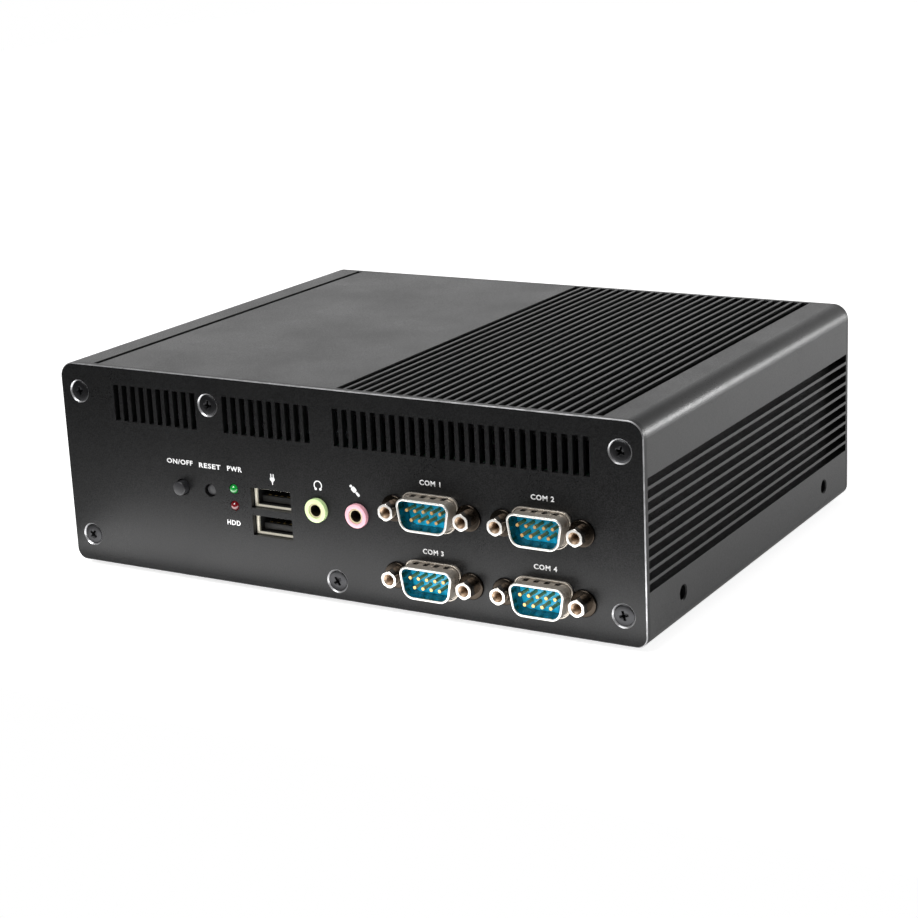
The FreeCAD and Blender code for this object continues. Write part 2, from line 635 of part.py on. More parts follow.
def make_feet():
    feet = []
    for x in ("-(body_width/2 - foot_inset_x)", "(body_width/2 - foot_inset_x)"):
        for y in ("-(body_depth/2 - foot_inset_y)", "(body_depth/2 - foot_inset_y)"):
            feet.append(rod(x, y, "0", "foot_diameter", "foot_height", FreeCAD.Rotation()))
    node("rubber_feet", group(feet))


# ---------------------------------------------------------------- buttons and lamps
SWITCH_FRONT = "(panel_thickness - body_depth/2 + io_setback - switch_length)"


def make_button(label, x, cap, cap_front):
    """A cap through the plate, a collar that keeps it in, and a stem that enters the switch."""
    z = lift("button_height")
    collar_front = FRONT_INSIDE + " + collar_gap"
    collar_rear = collar_front + " + collar_thickness"
    pieces = [
        rod(x, cap_front, z, cap, "%s - (%s)" % (collar_rear, cap_front)),
        rod(x, collar_front, z, "button_collar", "collar_thickness"),
        rod(x, collar_rear, z, "button_stem",
            "%s + switch_overlap - (%s)" % (SWITCH_FRONT, collar_rear)),
    ]
    node(label, joined(pieces))


def make_switches():
    switches = []
    for x in (POWER_X, RESET_X):
        low = lift("button_height - switch_size/2")
        body = block(x, SWITCH_FRONT, low, "switch_size", "switch_length", "switch_size")
        bore = rod(x, SWITCH_FRONT, lift("button_height"), "button_stem + 2*button_play",
                   "switch_overlap + button_travel + button_play")
        switches.append(cut(body, [bore]))
    node("button_switches", group(switches))


def make_lamps():
    spacers = []
    for label, height in (("power_led", "power_lamp_height"), ("drive_led", "drive_lamp_height")):
        z = lift(height)
        tip = FRONT + " - lamp_proud + lamp_diameter/2"
        rim = FRONT_INSIDE + " + collar_gap"
        pieces = [
            ball_end(LAMP_X, tip, z, "lamp_diameter"),
            rod(LAMP_X, tip, z, "lamp_diameter", "%s - (%s)" % (rim, tip)),
            rod(LAMP_X, rim, z, "lamp_rim", "lamp_rim_thickness"),
        ]
        node(label, joined(pieces))
        start = rim + " + lamp_rim_thickness"
        spacers.append(rod(LAMP_X, start, z, "spacer_diameter", "%s - (%s)" % (IO_FRONT, start)))
    node("led_spacers", group(spacers))


# ---------------------------------------------------------------- front sockets
CAN_FRONT = "(panel_thickness - body_depth/2 + socket_gap)"
CAN_LENGTH = "(io_setback - socket_gap)"


def make_front_usb():
    """A can with two lipped mouths, fitted with its two tongues low and the contacts on them."""
    low = lift("usb_height - usb_can_height/2")
    can = block(USB_X, CAN_FRONT, low, "usb_can_width", CAN_LENGTH, "usb_can_height")
    hollow = block(USB_X, CAN_FRONT + " + sheet_metal", low + " + sheet_metal",
                   "usb_can_width - 2*sheet_metal", CAN_LENGTH, "usb_can_height - 2*sheet_metal")
    core = block(USB_X, CAN_FRONT + " + sheet_metal", low + " + sheet_metal",
                 "usb_can_width - 2*sheet_metal", CAN_LENGTH + " - sheet_metal",
                 "usb_can_height - 2*sheet_metal")
    lips = []
    mouths = []
    wells = []
    tongues = []
    contacts = []
    for step in ("-", "+"):
        centre = lift("usb_height %s usb_pitch/2" % step)
        mouth_low = centre + " - usb_mouth_height/2"
        lips.append(block(USB_X, CAN_FRONT + " - usb_lip", mouth_low + " - usb_lip_edge",
                          "usb_mouth_width + 2*usb_lip_side", "usb_lip",
                          "usb_mouth_height + 2*usb_lip_edge"))
        mouths.append(block(USB_X, CAN_FRONT + " - usb_lip", mouth_low, "usb_mouth_width",
                            "usb_lip + sheet_metal", "usb_mouth_height"))
        wells.append(block(USB_X, CAN_FRONT + " + sheet_metal", mouth_low, "usb_mouth_width",
                           "usb_mouth_depth", "usb_mouth_height"))
        tongue_low = centre + " - usb_tongue_rise - usb_tongue_thickness/2"
        tongues.append(block(USB_X, CAN_FRONT + " + usb_tongue_back", tongue_low,
                             "usb_tongue_width", "usb_mouth_depth", "usb_tongue_thickness"))
        for slot in range(4):
            x = USB_X + " + (%.1f)*usb_contact_pitch" % (slot - 1.5)
            contacts.append(block(x, CAN_FRONT + " + usb_tongue_back + usb_contact_back",
                                  tongue_low + " + usb_tongue_thickness", "usb_contact_width",
                                  "usb_contact_length", "usb_contact_thickness"))
    node("usb_shell", cut(joined([cut(can, [hollow])] + lips), mouths))
    node("usb_core", joined([cut(core, wells)] + tongues))
    node("usb_contacts", group(contacts))


def make_jacks():
    """Round plastic collars through the plate, each on its block, lined with a metal sleeve."""
    sleeves = []
    ring_front = FRONT + " - jack_proud"
    block_low = lift("jack_height - jack_block_height/2")
    for label, x in (("headphone_jack", HEADPHONE_X), ("mic_jack", MIC_X)):
        z = lift("jack_height")
        collar = rod(x, ring_front, z, "jack_ring", "jack_proud + panel_thickness + socket_gap")
        body = block(x, CAN_FRONT, block_low, "jack_block_width", CAN_LENGTH, "jack_block_height")
        bore = rod(x, ring_front, z, "jack_bore", "jack_bore_depth")
        seat = rod(x, ring_front, z, "jack_sleeve", "jack_sleeve_sunk + jack_sleeve_length")
        node(label, cut(joined([collar, body]), [bore, seat]))
        sleeve_front = ring_front + " + jack_sleeve_sunk"
        sleeves.append(cut(rod(x, sleeve_front, z, "jack_sleeve", "jack_sleeve_length"),
                           [rod(x, sleeve_front, z, "jack_bore", "jack_sleeve_length")]))
    node("jack_sleeves", group(sleeves))


# ---------------------------------------------------------------- D-shaped ports
VGA_HEIGHT = "(floor_thickness + standoff_height + board_thickness + port_flange_tall/2)"


def com_places():
    """Middle of each serial port, numbered across the upper row and then the lower row."""
    right = IO_RIGHT + " - com_from_end"
    left = right + " - com_pitch_x"
    return [(left, "com_upper_height"), (right, "com_upper_height"),
            (left, "com_lower_height"), (right, "com_lower_height")]


def port_shell():
    """Flange and D-shaped shell; the flange's rear face is at the origin, the shell points to -Y."""
    length = "port_flange + panel_thickness + port_reach"
    flange = block("0", "-port_flange", "-port_flange_tall/2", "port_flange_width", "port_flange",
                   "port_flange_tall")
    outer = d_prism("port_shell_outer", "port_width", "port_tall", "port_corner", length)
    inner = d_prism("port_shell_inner", "port_width - 2*port_wall", "port_tall - 2*port_wall",
                    "port_corner - port_wall", length)
    hole = "jackscrew_thread + 2*jackscrew_hole_play"
    holes = [rod("%sjackscrew_spacing/2" % sign, "-port_flange", "0", hole, "port_flange")
             for sign in ("-", "")]
    return cut(joined([outer, flange]), [inner] + holes)


def port_core(sunk, block_depth, width, tall):
    """The insulator: a D-shaped plug inside the shell and a block behind the flange."""
    narrower = "2*port_wall + 2*port_core_play"
    plug = d_prism("port_core", "port_width - (%s)" % narrower, "port_tall - (%s)" % narrower,
                   "port_corner - port_wall - port_core_play",
                   "port_flange + panel_thickness + port_reach - %s" % sunk)
    body = block("0", "0", "-(%s)/2" % tall, width, block_depth, tall)
    return joined([plug, body])


def pin_offsets():
    """Five contacts in the upper row and four in the lower one."""
    upper = [("(%d)*pin_pitch" % (i - 2), "pin_row_pitch/2") for i in range(5)]
    lower = [("(%.1f)*pin_pitch" % (i - 1.5), "-pin_row_pitch/2") for i in range(4)]
    return upper + lower


def make_com_ports():
    behind = "(io_setback - port_flange)"
    front_reach = "(port_flange + panel_thickness + port_reach)"
    flange_rear = FRONT_INSIDE + " + port_flange"
    for index, (x, height) in enumerate(com_places(), start=1):
        z = lift(height)
        node("com_%d_shell" % index, put(port_shell(), x, flange_rear, z))
        holes = []
        pins = []
        for across, up in pin_offsets():
            holes.append(rod(across, "-" + front_reach, up, "pin_diameter + 2*pin_play",
                             front_reach + " + " + behind))
            pins.append(rod(across, "pin_sunk - " + front_reach, up, "pin_diameter",
                            "%s - pin_sunk + %s" % (front_reach, behind)))
        core = port_core("port_core_sunk", behind, "port_core_width", "port_core_tall")
        node("com_%d_insulator" % index, put(cut(core, holes), x, flange_rear, z))
        node("com_%d_pins" % index, put(group(pins), x, flange_rear, z))


def jackscrew():
    """Hexagonal pillar on a washer, threaded inside, with a stud behind; its washer seats at y = 0."""
    pillar = doc.addObject("Part::Prism", "Pillar")
    pillar.Polygon = 6
    bind(pillar, Circumradius="jackscrew_across/sqrt(3)", Height="jackscrew_reach")
    put(pillar, "0", "-jackscrew_reach", "0", ALONG_Y)
    washer = rod("0", "-jackscrew_washer_thickness", "0", "jackscrew_washer",
                 "jackscrew_washer_thickness")
    stud = rod("0", "-jackscrew_washer_thickness", "0", "jackscrew_thread",
               "jackscrew_washer_thickness + panel_thickness + port_flange + jackscrew_stud")
    bore = rod("0", "-jackscrew_reach", "0", "jackscrew_bore", "jackscrew_bore_depth")
    mouth = taper("0", "-jackscrew_reach", "0", "jackscrew_mouth", "jackscrew_bore",
                  "(jackscrew_mouth - jackscrew_bore)/2")
    return cut(joined([pillar, washer, stud]), [bore, mouth])


def make_jackscrews():
    screws = []
    ports = [(x, FRONT, height, None) for x, height in com_places()]
    ports.append((VGA_X, REAR, VGA_HEIGHT, HALF_TURN))
    for x, y, height, turn in ports:
        for sign in ("-", "+"):
            screws.append(put(jackscrew(), "%s %s jackscrew_spacing/2" % (x, sign), y, lift(height), turn))
    node("port_jackscrews", group(screws))


def make_vga():
    z = lift(VGA_HEIGHT)
    y = REAR_INSIDE + " - port_flange"
    node("vga_shell", put(port_shell(), VGA_X, y, z, HALF_TURN))
    core = port_core("rear_sunk", "vga_core_depth", "vga_core_width", "vga_core_tall")
    holes = []
    for line in range(3):
        for column in range(5):
            across = "(%.1f)*vga_hole_pitch" % (column - 2 + 0.5*(line % 2) - 0.25)
            up = "(%d)*vga_row_pitch" % (line - 1)
            holes.append(rod(across, "rear_sunk - port_flange - panel_thickness - port_reach", up,
                             "vga_hole", "vga_hole_depth"))
    node("vga_core", put(cut(core, holes), VGA_X, y, z, HALF_TURN))


# ---------------------------------------------------------------- other ports on the rear edge
def lan_places():
    first = MAIN_LEFT + " + lan_from_end"
    return [first + " + lan_pitch", first]


def make_inlet():
    length = "inlet_depth"
    start = REAR + " - rear_sunk - inlet_depth"
    low = lift(MAIN_TOP)
    z = lift(MAIN_TOP + " + inlet_height/2")
    body = block(INLET_X, start, low, "inlet_width", length, "inlet_height")
    well = rod(INLET_X, REAR + " - rear_sunk - inlet_bore_depth", z, "inlet_bore", "inlet_bore_depth")
    node("power_inlet", cut(body, [well]))
    node("power_inlet_pin", rod(INLET_X, REAR + " - rear_sunk - inlet_bore_depth", z, "inlet_pin",
                                "inlet_bore_depth - inlet_pin_sunk"))


def rear_can(x, width, height, depth, mouths):
    """A steel can on the rear edge of the board and the core inside it, both with the same mouths.

    Each mouth is its middle height above the board, width, height, depth and tongue, or no tongue.
    """
    rear = REAR + " - rear_sunk"
    start = "(%s) - (%s)" % (rear, depth)
    low = lift(MAIN_TOP)
    can = block(x, start, low, width, depth, height)
    hollow = block(x, start, low + " + sheet_metal", width + " - 2*sheet_metal",
                   depth + " - sheet_metal", height + " - 2*sheet_metal")
    core = block(x, start, low + " + sheet_metal", width + " - 2*sheet_metal",
                 depth + " - sheet_metal", height + " - 2*sheet_metal")
    openings = []
    wells = []
    tongues = []
    for middle, mouth_width, mouth_height, mouth_depth, tongue in mouths:
        mouth_low = "%s + %s - (%s)/2" % (low, middle, mouth_height)
        openings.append(block(x, rear + " - sheet_metal", mouth_low, mouth_width, "sheet_metal",
                              mouth_height))
        wells.append(block(x, "%s - sheet_metal - (%s)" % (rear, mouth_depth), mouth_low, mouth_width,
                           mouth_depth, mouth_height))
        if tongue:
            tongue_width, thickness, rise = tongue
            tongues.append(block(x, "%s - usb_tongue_back - (%s)" % (rear, mouth_depth),
                                 "%s + %s + %s - (%s)/2" % (low, middle, rise, thickness),
                                 tongue_width, mouth_depth, thickness))
    return cut(can, [hollow] + openings), joined([cut(core, wells)] + tongues)


def make_hdmi():
    mouth = ("hdmi_height/2", "hdmi_mouth_width", "hdmi_mouth_height", "hdmi_mouth_depth",
             ("hdmi_tongue_width", "hdmi_tongue_thickness", "0"))
    shell, core = rear_can(HDMI_X, "hdmi_width", "hdmi_height", "hdmi_depth", [mouth])
    node("hdmi_shell", shell)
    node("hdmi_core", core)


def make_lan_stacks():
    """Each stack has one network socket above two USB sockets."""
    usb_tongue = ("usb_tongue_width", "usb_tongue_thickness", "usb_tongue_rise")
    mouths = [("(lan_height - lan_mouth_drop - lan_mouth_height/2)", "lan_mouth_width",
               "lan_mouth_height", "lan_mouth_depth", None)]
    for step in ("0", "lan_usb_pitch"):
        mouths.append(("(lan_usb_rise + %s)" % step, "usb_mouth_width", "usb_mouth_height",
                       "usb_mouth_depth", usb_tongue))
    for letter, x in zip("ab", lan_places()):
        shell, core = rear_can(x, "lan_width", "lan_height", "lan_depth", mouths)
        node("lan_usb_%s_shell" % letter, shell)
        node("lan_usb_%s_core" % letter, core)


# ---------------------------------------------------------------- boards and what is on them
def standoff_places():
    return [(x, y) for x in (MAIN_LEFT + " + board_hole_inset", MAIN_RIGHT + " - board_hole_inset")
            for y in (MAIN_FRONT + " + board_hole_inset", MAIN_REAR + " - board_hole_inset")]


def make_io_board():
    """The upright board, notched over the screw channel that runs along the floor."""
    low = lift("io_board_lift")
    width = "(power_from_end + io_board_margin)"
    board = block(IO_RIGHT + " - %s/2" % width, IO_FRONT, low, width, "board_thickness",
                  "io_board_height")
    notch = block("-floor_screw_from_middle", IO_FRONT, low,
                  "2*(channel_radius + board_notch_play)", "board_thickness",
                  "floor_screw_height + channel_radius + board_notch_play - io_board_lift")
    node("io_board", cut(board, [notch]))


def make_main_board():
    board = block("0", MAIN_FRONT, lift(MAIN_UNDERSIDE), "body_width - 2*main_side_gap", "main_depth",
                  "board_thickness")
    upright = FreeCAD.Rotation()
    holes = []
    standoffs = []
    screws = []
    for x, y in standoff_places():
        holes.append(rod(x, y, lift(MAIN_UNDERSIDE), "board_hole", "board_thickness", upright))
        post = rod(x, y, lift("floor_thickness"), "standoff_diameter", "standoff_height", upright)
        thread = rod(x, y, lift("floor_thickness"), "board_screw_shank", "standoff_height", upright)
        standoffs.append(cut(post, [thread]))
        head = rod(x, y, lift(MAIN_TOP), "board_screw_head", "board_screw_head_height", upright)
        shank = rod(x, y, lift(MAIN_TOP + " - board_screw_length"), "board_screw_shank - screw_play",
                    "board_screw_length", upright)
        screws.append(joined([head, shank]))
    node("main_board", cut(board, holes))
    node("board_standoffs", group(standoffs))
    node("board_screws", group(screws))


def make_heat_path():
    """Processor, soft pad and the block that rises to the underside of the fins."""
    pad_low = lift(MAIN_TOP + " + chip_height")
    node("processor", block("chip_x", "chip_y - chip_size/2", lift(MAIN_TOP), "chip_size", "chip_size",
                            "chip_height"))
    node("thermal_pad", block("chip_x", "chip_y - chip_size/2", pad_low, "chip_size", "chip_size",
                              "pad_thickness"))
    rise = "%s - heat_block_gap - (%s + chip_height + pad_thickness)" % (FIN_UNDERSIDE, MAIN_TOP)
    node("heat_block", block("chip_x", "chip_y - heat_block/2", pad_low + " + pad_thickness",
                             "heat_block", "heat_block", rise))


def make_memory():
    """A flat module whose rear edge sits in the slot of its socket."""
    socket = block("-memory_x", "memory_y", lift(MAIN_TOP), "memory_socket_width",
                   "memory_socket_depth", "memory_socket_height")
    slot_low = lift(MAIN_TOP + " + memory_slot_height")
    slot = block("-memory_x", "memory_y", slot_low, "memory_width + 2*board_notch_play",
                 "memory_slot_depth", "memory_thickness")
    node("memory_socket", cut(socket, [slot]))
    node("memory_module", block("-memory_x", "memory_y + memory_slot_depth - memory_length", slot_low,
                                "memory_width", "memory_length", "memory_thickness"))


def make_clock_battery():
    upright = FreeCAD.Rotation()
    floor = "(holder_height - battery_thickness)"
    x = MAIN_LEFT + " + battery_from_end"
    y = MAIN_FRONT + " + battery_from_front"
    cup = rod(x, y, lift(MAIN_TOP), "holder_diameter", "holder_height", upright)
    seat = rod(x, y, lift(MAIN_TOP + " + " + floor),
               "battery_diameter + 2*holder_play", "battery_thickness", upright)
    node("battery_holder", cut(cup, [seat]))
    node("clock_battery", rod(x, y, lift(MAIN_TOP + " + " + floor), "battery_diameter",
                              "battery_thickness", upright))


def make_power_parts():
    """Chokes in a row across the board and capacitors in a row along its right edge."""
    coils = []
    for step in range(int(number("coil_count"))):
        x = "chip_x + (%.1f)*coil_pitch" % (step - (number("coil_count") - 1)/2)
        coils.append(block(x, MAIN_REAR + " - coil_from_rear - coil_size/2", lift(MAIN_TOP), "coil_size",
                           "coil_size", "coil_height"))
    cans = []
    for step in range(int(number("can_count"))):
        y = "can_row_y + (%.1f)*can_pitch" % (step - (number("can_count") - 1)/2)
        cans.append(rod(MAIN_RIGHT + " - can_from_end", y, lift(MAIN_TOP), "can_diameter", "can_height",
                        FreeCAD.Rotation()))
    node("board_coils", group(coils))
    node("board_capacitors", group(cans))


def make_board_link():
    """A stiff connector that joins the upright board to the front edge of the main board."""
    length = "%s + link_overlap - %s" % (MAIN_FRONT, IO_REAR)
    node("board_link", block("link_x", IO_REAR, lift(MAIN_TOP), "link_width", length, "link_height"))


# ---------------------------------------------------------------- drive
TRAY_UNDERSIDE = ("(body_height - upper_screw_drop - channel_radius - drive_to_channel"
                  " - drive_height - bracket_sheet)")
TAB_FROM_MIDDLE = "(channel_radius + tab_gap + bracket_tab/2)"
TRAY_HALF_LENGTH = "(drive_length/2 + bracket_play + bracket_sheet)"


def bracket_feet():
    """Middle of each foot of the drive's bracket, two ahead of the drive and two behind it."""
    reach = TRAY_HALF_LENGTH + " + bracket_foot/2"
    return [("-roof_screw_from_middle %s %s" % (side, TAB_FROM_MIDDLE), "-drive_y %s (%s)" % (end, reach))
            for side in ("-", "+") for end in ("-", "+")]


def make_drive():
    """A flat drive in a tray that hangs from the roof, clear of the screw channel above it."""
    upright = FreeCAD.Rotation()
    tray_low = lift(TRAY_UNDERSIDE)
    half_width = "(drive_width/2 + bracket_play + bracket_sheet)"
    front = "-drive_y - " + TRAY_HALF_LENGTH
    length = "2*" + TRAY_HALF_LENGTH
    pieces = [block("-roof_screw_from_middle", front, tray_low, "2*" + half_width, length, "bracket_sheet")]
    for side in ("-", "+"):
        lip = "-roof_screw_from_middle %s (%s - bracket_sheet/2)" % (side, half_width)
        pieces.append(block(lip, front, tray_low, "bracket_sheet", length, "bracket_sheet + bracket_lip"))
        tab = "-roof_screw_from_middle %s %s" % (side, TAB_FROM_MIDDLE)
        for leg in (front, "-drive_y + %s - bracket_sheet" % TRAY_HALF_LENGTH):
            pieces.append(block(tab, leg, tray_low, "bracket_tab", "bracket_sheet",
                                "%s - %s" % (ROOF_UNDERSIDE, TRAY_UNDERSIDE)))
    holes = []
    screws = []
    for x, y in bracket_feet():
        foot_low = lift(ROOF_UNDERSIDE + " - bracket_sheet")
        pieces.append(block(x, y + " - bracket_foot/2", foot_low, "bracket_tab", "bracket_foot",
                            "bracket_sheet"))
        holes.append(rod(x, y, foot_low, "drive_screw_shank + 2*screw_play", "bracket_sheet", upright))
        head = rod(x, y, foot_low + " - drive_screw_head_height", "drive_screw_head",
                   "drive_screw_head_height", upright)
        shank = rod(x, y, foot_low, "drive_screw_shank - screw_play",
                    "bracket_sheet + drive_screw_depth - screw_play", upright)
        screws.append(joined([head, shank]))
    node("drive_bracket", cut(joined(pieces), holes))
    node("drive_screws", group(screws))
    node("solid_state_drive", block("-roof_screw_from_middle", "-drive_y - drive_length/2",
                                    tray_low + " + bracket_sheet", "drive_width", "drive_length",
                                    "drive_height"))


# ---------------------------------------------------------------- build, check and write
make_finned_cover()
make_base_channel()
make_front_panel()
make_rear_panel()
make_panel_screws()
make_feet()
make_button("power_button", POWER_X, "power_cap", FRONT + " - power_proud")
make_button("reset_button", RESET_X, "reset_cap", FRONT + " + reset_sunk")
make_switches()
make_lamps()
make_front_usb()
make_jacks()
make_com_ports()
make_jackscrews()
make_vga()
make_inlet()
make_hdmi()
make_lan_stacks()
make_io_board()
make_main_board()
make_heat_path()
make_memory()
make_clock_battery()
make_power_parts()
make_board_link()
make_drive()
doc.recompute()

for item in doc.Objects:
    assert "Invalid" not in item.State and "Error" not in item.State, "%s failed" % item.Label
for piece in nodes:
    assert not piece.Shape.isNull() and piece.Shape.isValid(), "%s has no valid shape" % piece.Label

os.makedirs("parts", exist_ok=True)
for piece in nodes:
    piece.Shape.exportStep("parts/%s.step" % piece.Label)
print("wrote %d sub-parts" % len(nodes))
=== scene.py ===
"""Finish of the fanless industrial PC: materials, formed-metal parts, printing, lamps and camera.

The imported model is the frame. Its extrusions, plates and boards keep their own shape and take
better materials. Small parts whose edges show, such as port shells, jackscrews, screw heads,
sockets and buttons, are modelled here over their plain solids. Metres; X right, Y to the rear,
Z up.
"""
import math
import bmesh
import bpy
from mathutils import Matrix, Vector


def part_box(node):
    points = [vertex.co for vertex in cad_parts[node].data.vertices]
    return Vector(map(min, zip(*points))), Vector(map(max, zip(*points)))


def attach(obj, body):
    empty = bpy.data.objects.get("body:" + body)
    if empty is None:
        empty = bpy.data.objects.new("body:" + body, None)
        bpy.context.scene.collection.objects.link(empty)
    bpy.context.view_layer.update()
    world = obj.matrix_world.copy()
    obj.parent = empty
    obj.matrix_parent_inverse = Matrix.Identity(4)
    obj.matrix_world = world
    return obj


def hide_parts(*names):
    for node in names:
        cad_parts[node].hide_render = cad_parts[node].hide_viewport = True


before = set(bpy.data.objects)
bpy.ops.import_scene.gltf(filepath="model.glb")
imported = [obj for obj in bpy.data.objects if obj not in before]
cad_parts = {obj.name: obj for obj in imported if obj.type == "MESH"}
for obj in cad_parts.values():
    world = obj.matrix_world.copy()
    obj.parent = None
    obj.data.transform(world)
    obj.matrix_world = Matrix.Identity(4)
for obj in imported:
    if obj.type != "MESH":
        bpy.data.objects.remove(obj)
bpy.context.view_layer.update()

MM = 0.001
WELD = 1e-6
IN_LINE = 1e-7

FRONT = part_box("front_panel")[0].y
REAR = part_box("rear_panel")[1].y
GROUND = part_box("rubber_feet")[0].z


def middle(node):
    low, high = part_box(node)
    return (low + high)/2


# ---------------------------------------------------------------- helpers for edit mode
def deselect():
    bpy.ops.object.select_all(action="DESELECT")
    bpy.context.view_layer.objects.active = None


def activate(piece):
    deselect()
    piece.select_set(True)
    bpy.context.view_layer.objects.active = piece


def edit(piece, mode):
    activate(piece)
    bpy.ops.object.mode_set(mode="EDIT")
    bpy.ops.mesh.select_mode(type=mode)
    bpy.ops.mesh.select_all(action="DESELECT")


def leave_edit():
    bpy.ops.object.mode_set(mode="OBJECT")


def pick_faces(piece, test):
    """Select the faces whose centre and normal pass the test, while in edit mode."""
    mesh = bmesh.from_edit_mesh(piece.data)
    for face in mesh.faces:
        face.select_set(bool(test(face.calc_center_median(), face.normal)))
    mesh.select_flush_mode()
    bmesh.update_edit_mesh(piece.data)


def pick_edges(piece, test):
    """Select the edges whose two ends pass the test, while in edit mode."""
    mesh = bmesh.from_edit_mesh(piece.data)
    for edge in mesh.edges:
        edge.select_set(bool(test(edge.verts[0].co, edge.verts[1].co)))
    mesh.select_flush_mode()
    bmesh.update_edit_mesh(piece.data)


def along_y(start, end):
    """Whether an edge runs from front to rear."""
    return abs(start.x - end.x) < IN_LINE and abs(start.z - end.z) < IN_LINE


def settle(piece):
    """Write the object's place into its mesh, so that the object itself stands at the origin."""
    activate(piece)
    bpy.ops.object.transform_apply(location=True, rotation=True, scale=True)


def smooth(piece, degrees=35):
    activate(piece)
    bpy.ops.object.shade_smooth_by_angle(angle=math.radians(degrees))


def apply_all(piece):
    activate(piece)
    for modifier in list(piece.modifiers):
        bpy.ops.object.modifier_apply(modifier=modifier.name)


def bevelled(piece, width, segments=2, degrees=40):
    """Round every edge sharper than the angle."""
    bevel = piece.modifiers.new("edges", "BEVEL")
    bevel.width = width
    bevel.segments = segments
    bevel.limit_method = "ANGLE"
    bevel.angle_limit = math.radians(degrees)
    apply_all(piece)
    return piece


def carved(piece, cutter):
    """Take the cutter's volume out of the piece."""
    boolean = piece.modifiers.new("carve", "BOOLEAN")
    boolean.operation = "DIFFERENCE"
    boolean.solver = "EXACT"
    boolean.object = cutter
    apply_all(piece)
    bpy.data.objects.remove(cutter, do_unlink=True)


def copied(piece, name, offset, turn=None):
    """A copy with its own mesh, moved by the offset after an optional turn about the origin."""
    twin = piece.copy()
    twin.data = piece.data.copy()
    twin.name = name
    twin.data.name = name
    bpy.context.scene.collection.objects.link(twin)
    matrix = Matrix.Translation(offset)
    if turn:
        matrix = matrix @ turn
    twin.data.transform(matrix)
    twin.data.update()
    return twin


def merged(pieces, name):
    """Join several pieces into one object."""
    deselect()
    for piece in pieces:
        piece.select_set(True)
    bpy.context.view_layer.objects.active = pieces[0]
    bpy.ops.object.join()
    pieces[0].name = name
    pieces[0].data.name = name
    return pieces[0]


def finish_piece(piece, name, material, body="enclosure", replaces=None):
    piece.name = name
    piece.data.name = name
    piece.data.materials.clear()
    piece.data.materials.append(material)
    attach(piece, body)
    if replaces:
        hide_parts(replaces)
    return piece


def drum(radius, front, rear, sides=48):
    """A closed round bar along Y, round the origin."""
    deselect()
    bpy.ops.mesh.primitive_cylinder_add(vertices=sides, radius=radius, depth=rear - front,
                                        location=(0, (front + rear)/2, 0),
                                        rotation=(math.radians(90), 0, 0))
    piece = bpy.context.object
    settle(piece)
    return piece


def brick(low, high):
    """A closed box between two corners."""
    deselect()
    low = Vector(low)
    high = Vector(high)
    bpy.ops.mesh.primitive_cube_add(size=1, location=(low + high)/2)
    piece = bpy.context.object
    piece.scale = high - low
    settle(piece)
    return piece


# ---------------------------------------------------------------- shader groups
MIX_FACTOR, MIX_FIRST, MIX_SECOND = 0, 6, 7
MIX_RESULT = 2
GRAIN_SIZE = 2600.0
DIE_LINE_SIZE = 1900.0


def new_group(name, inputs, outputs):
    tree = bpy.data.node_groups.new(name, "ShaderNodeTree")
    for label, kind, value in inputs:
        socket = tree.interface.new_socket(label, in_out="INPUT", socket_type=kind)
        if value is not None:
            socket.default_value = value
    for label, kind in outputs:
        tree.interface.new_socket(label, in_out="OUTPUT", socket_type=kind)
    start = tree.nodes.new("NodeGroupInput")
    end = tree.nodes.new("NodeGroupOutput")
    return tree, start, end


def add(tree, kind, links=None, **values):
    """A node with plain properties set, and sockets linked or given values."""
    node = tree.nodes.new(kind)
    for name, value in values.items():
        setattr(node, name, value)
    for socket, source in (links or {}).items():
        if isinstance(source, bpy.types.NodeSocket):
            tree.links.new(source, node.inputs[socket])
        else:
            node.inputs[socket].default_value = source
    return node


def math_node(tree, operation, first, second=None):
    links = {0: first}
    if second is not None:
        links[1] = second
    return add(tree, "ShaderNodeMath", links, operation=operation).outputs[0]


def span(tree, value, low, high, to_low=0.0, to_high=1.0):
    """Map a value from one range to another, held at the ends."""
    links = {"Value": value, "From Min": low, "From Max": high, "To Min": to_low, "To Max": to_high}
    return add(tree, "ShaderNodeMapRange", links).outputs["Result"]


def blend_colour(tree, factor, first, second):
    """From the first colour to the second, by the colour sockets of a mix node."""
    links = {MIX_FACTOR: factor, MIX_FIRST: first, MIX_SECOND: second}
    return add(tree, "ShaderNodeMix", links, data_type="RGBA").outputs[MIX_RESULT]


def make_grain():
    """Fine blasted grain: a mask of flecks, a height of the same size, and broad clouds."""
    tree, start, end = new_group("blasted_grain", [("Size", "NodeSocketFloat", GRAIN_SIZE)],
                                 [("Flecks", "NodeSocketFloat"), ("Height", "NodeSocketFloat"),
                                  ("Clouds", "NodeSocketFloat")])
    place = add(tree, "ShaderNodeTexCoord").outputs["Object"]
    fine = add(tree, "ShaderNodeTexNoise", {"Vector": place, "Scale": start.outputs["Size"],
                                            "Detail": 2.0, "Roughness": 0.6})
    wide = add(tree, "ShaderNodeTexNoise", {"Vector": place, "Scale": 38.0, "Detail": 3.0,
                                            "Roughness": 0.55})
    flecks = span(tree, fine.outputs["Fac"], 0.36, 0.66)
    tree.links.new(flecks, end.inputs["Flecks"])
    tree.links.new(fine.outputs["Fac"], end.inputs["Height"])
    tree.links.new(span(tree, wide.outputs["Fac"], 0.3, 0.7), end.inputs["Clouds"])
    return tree


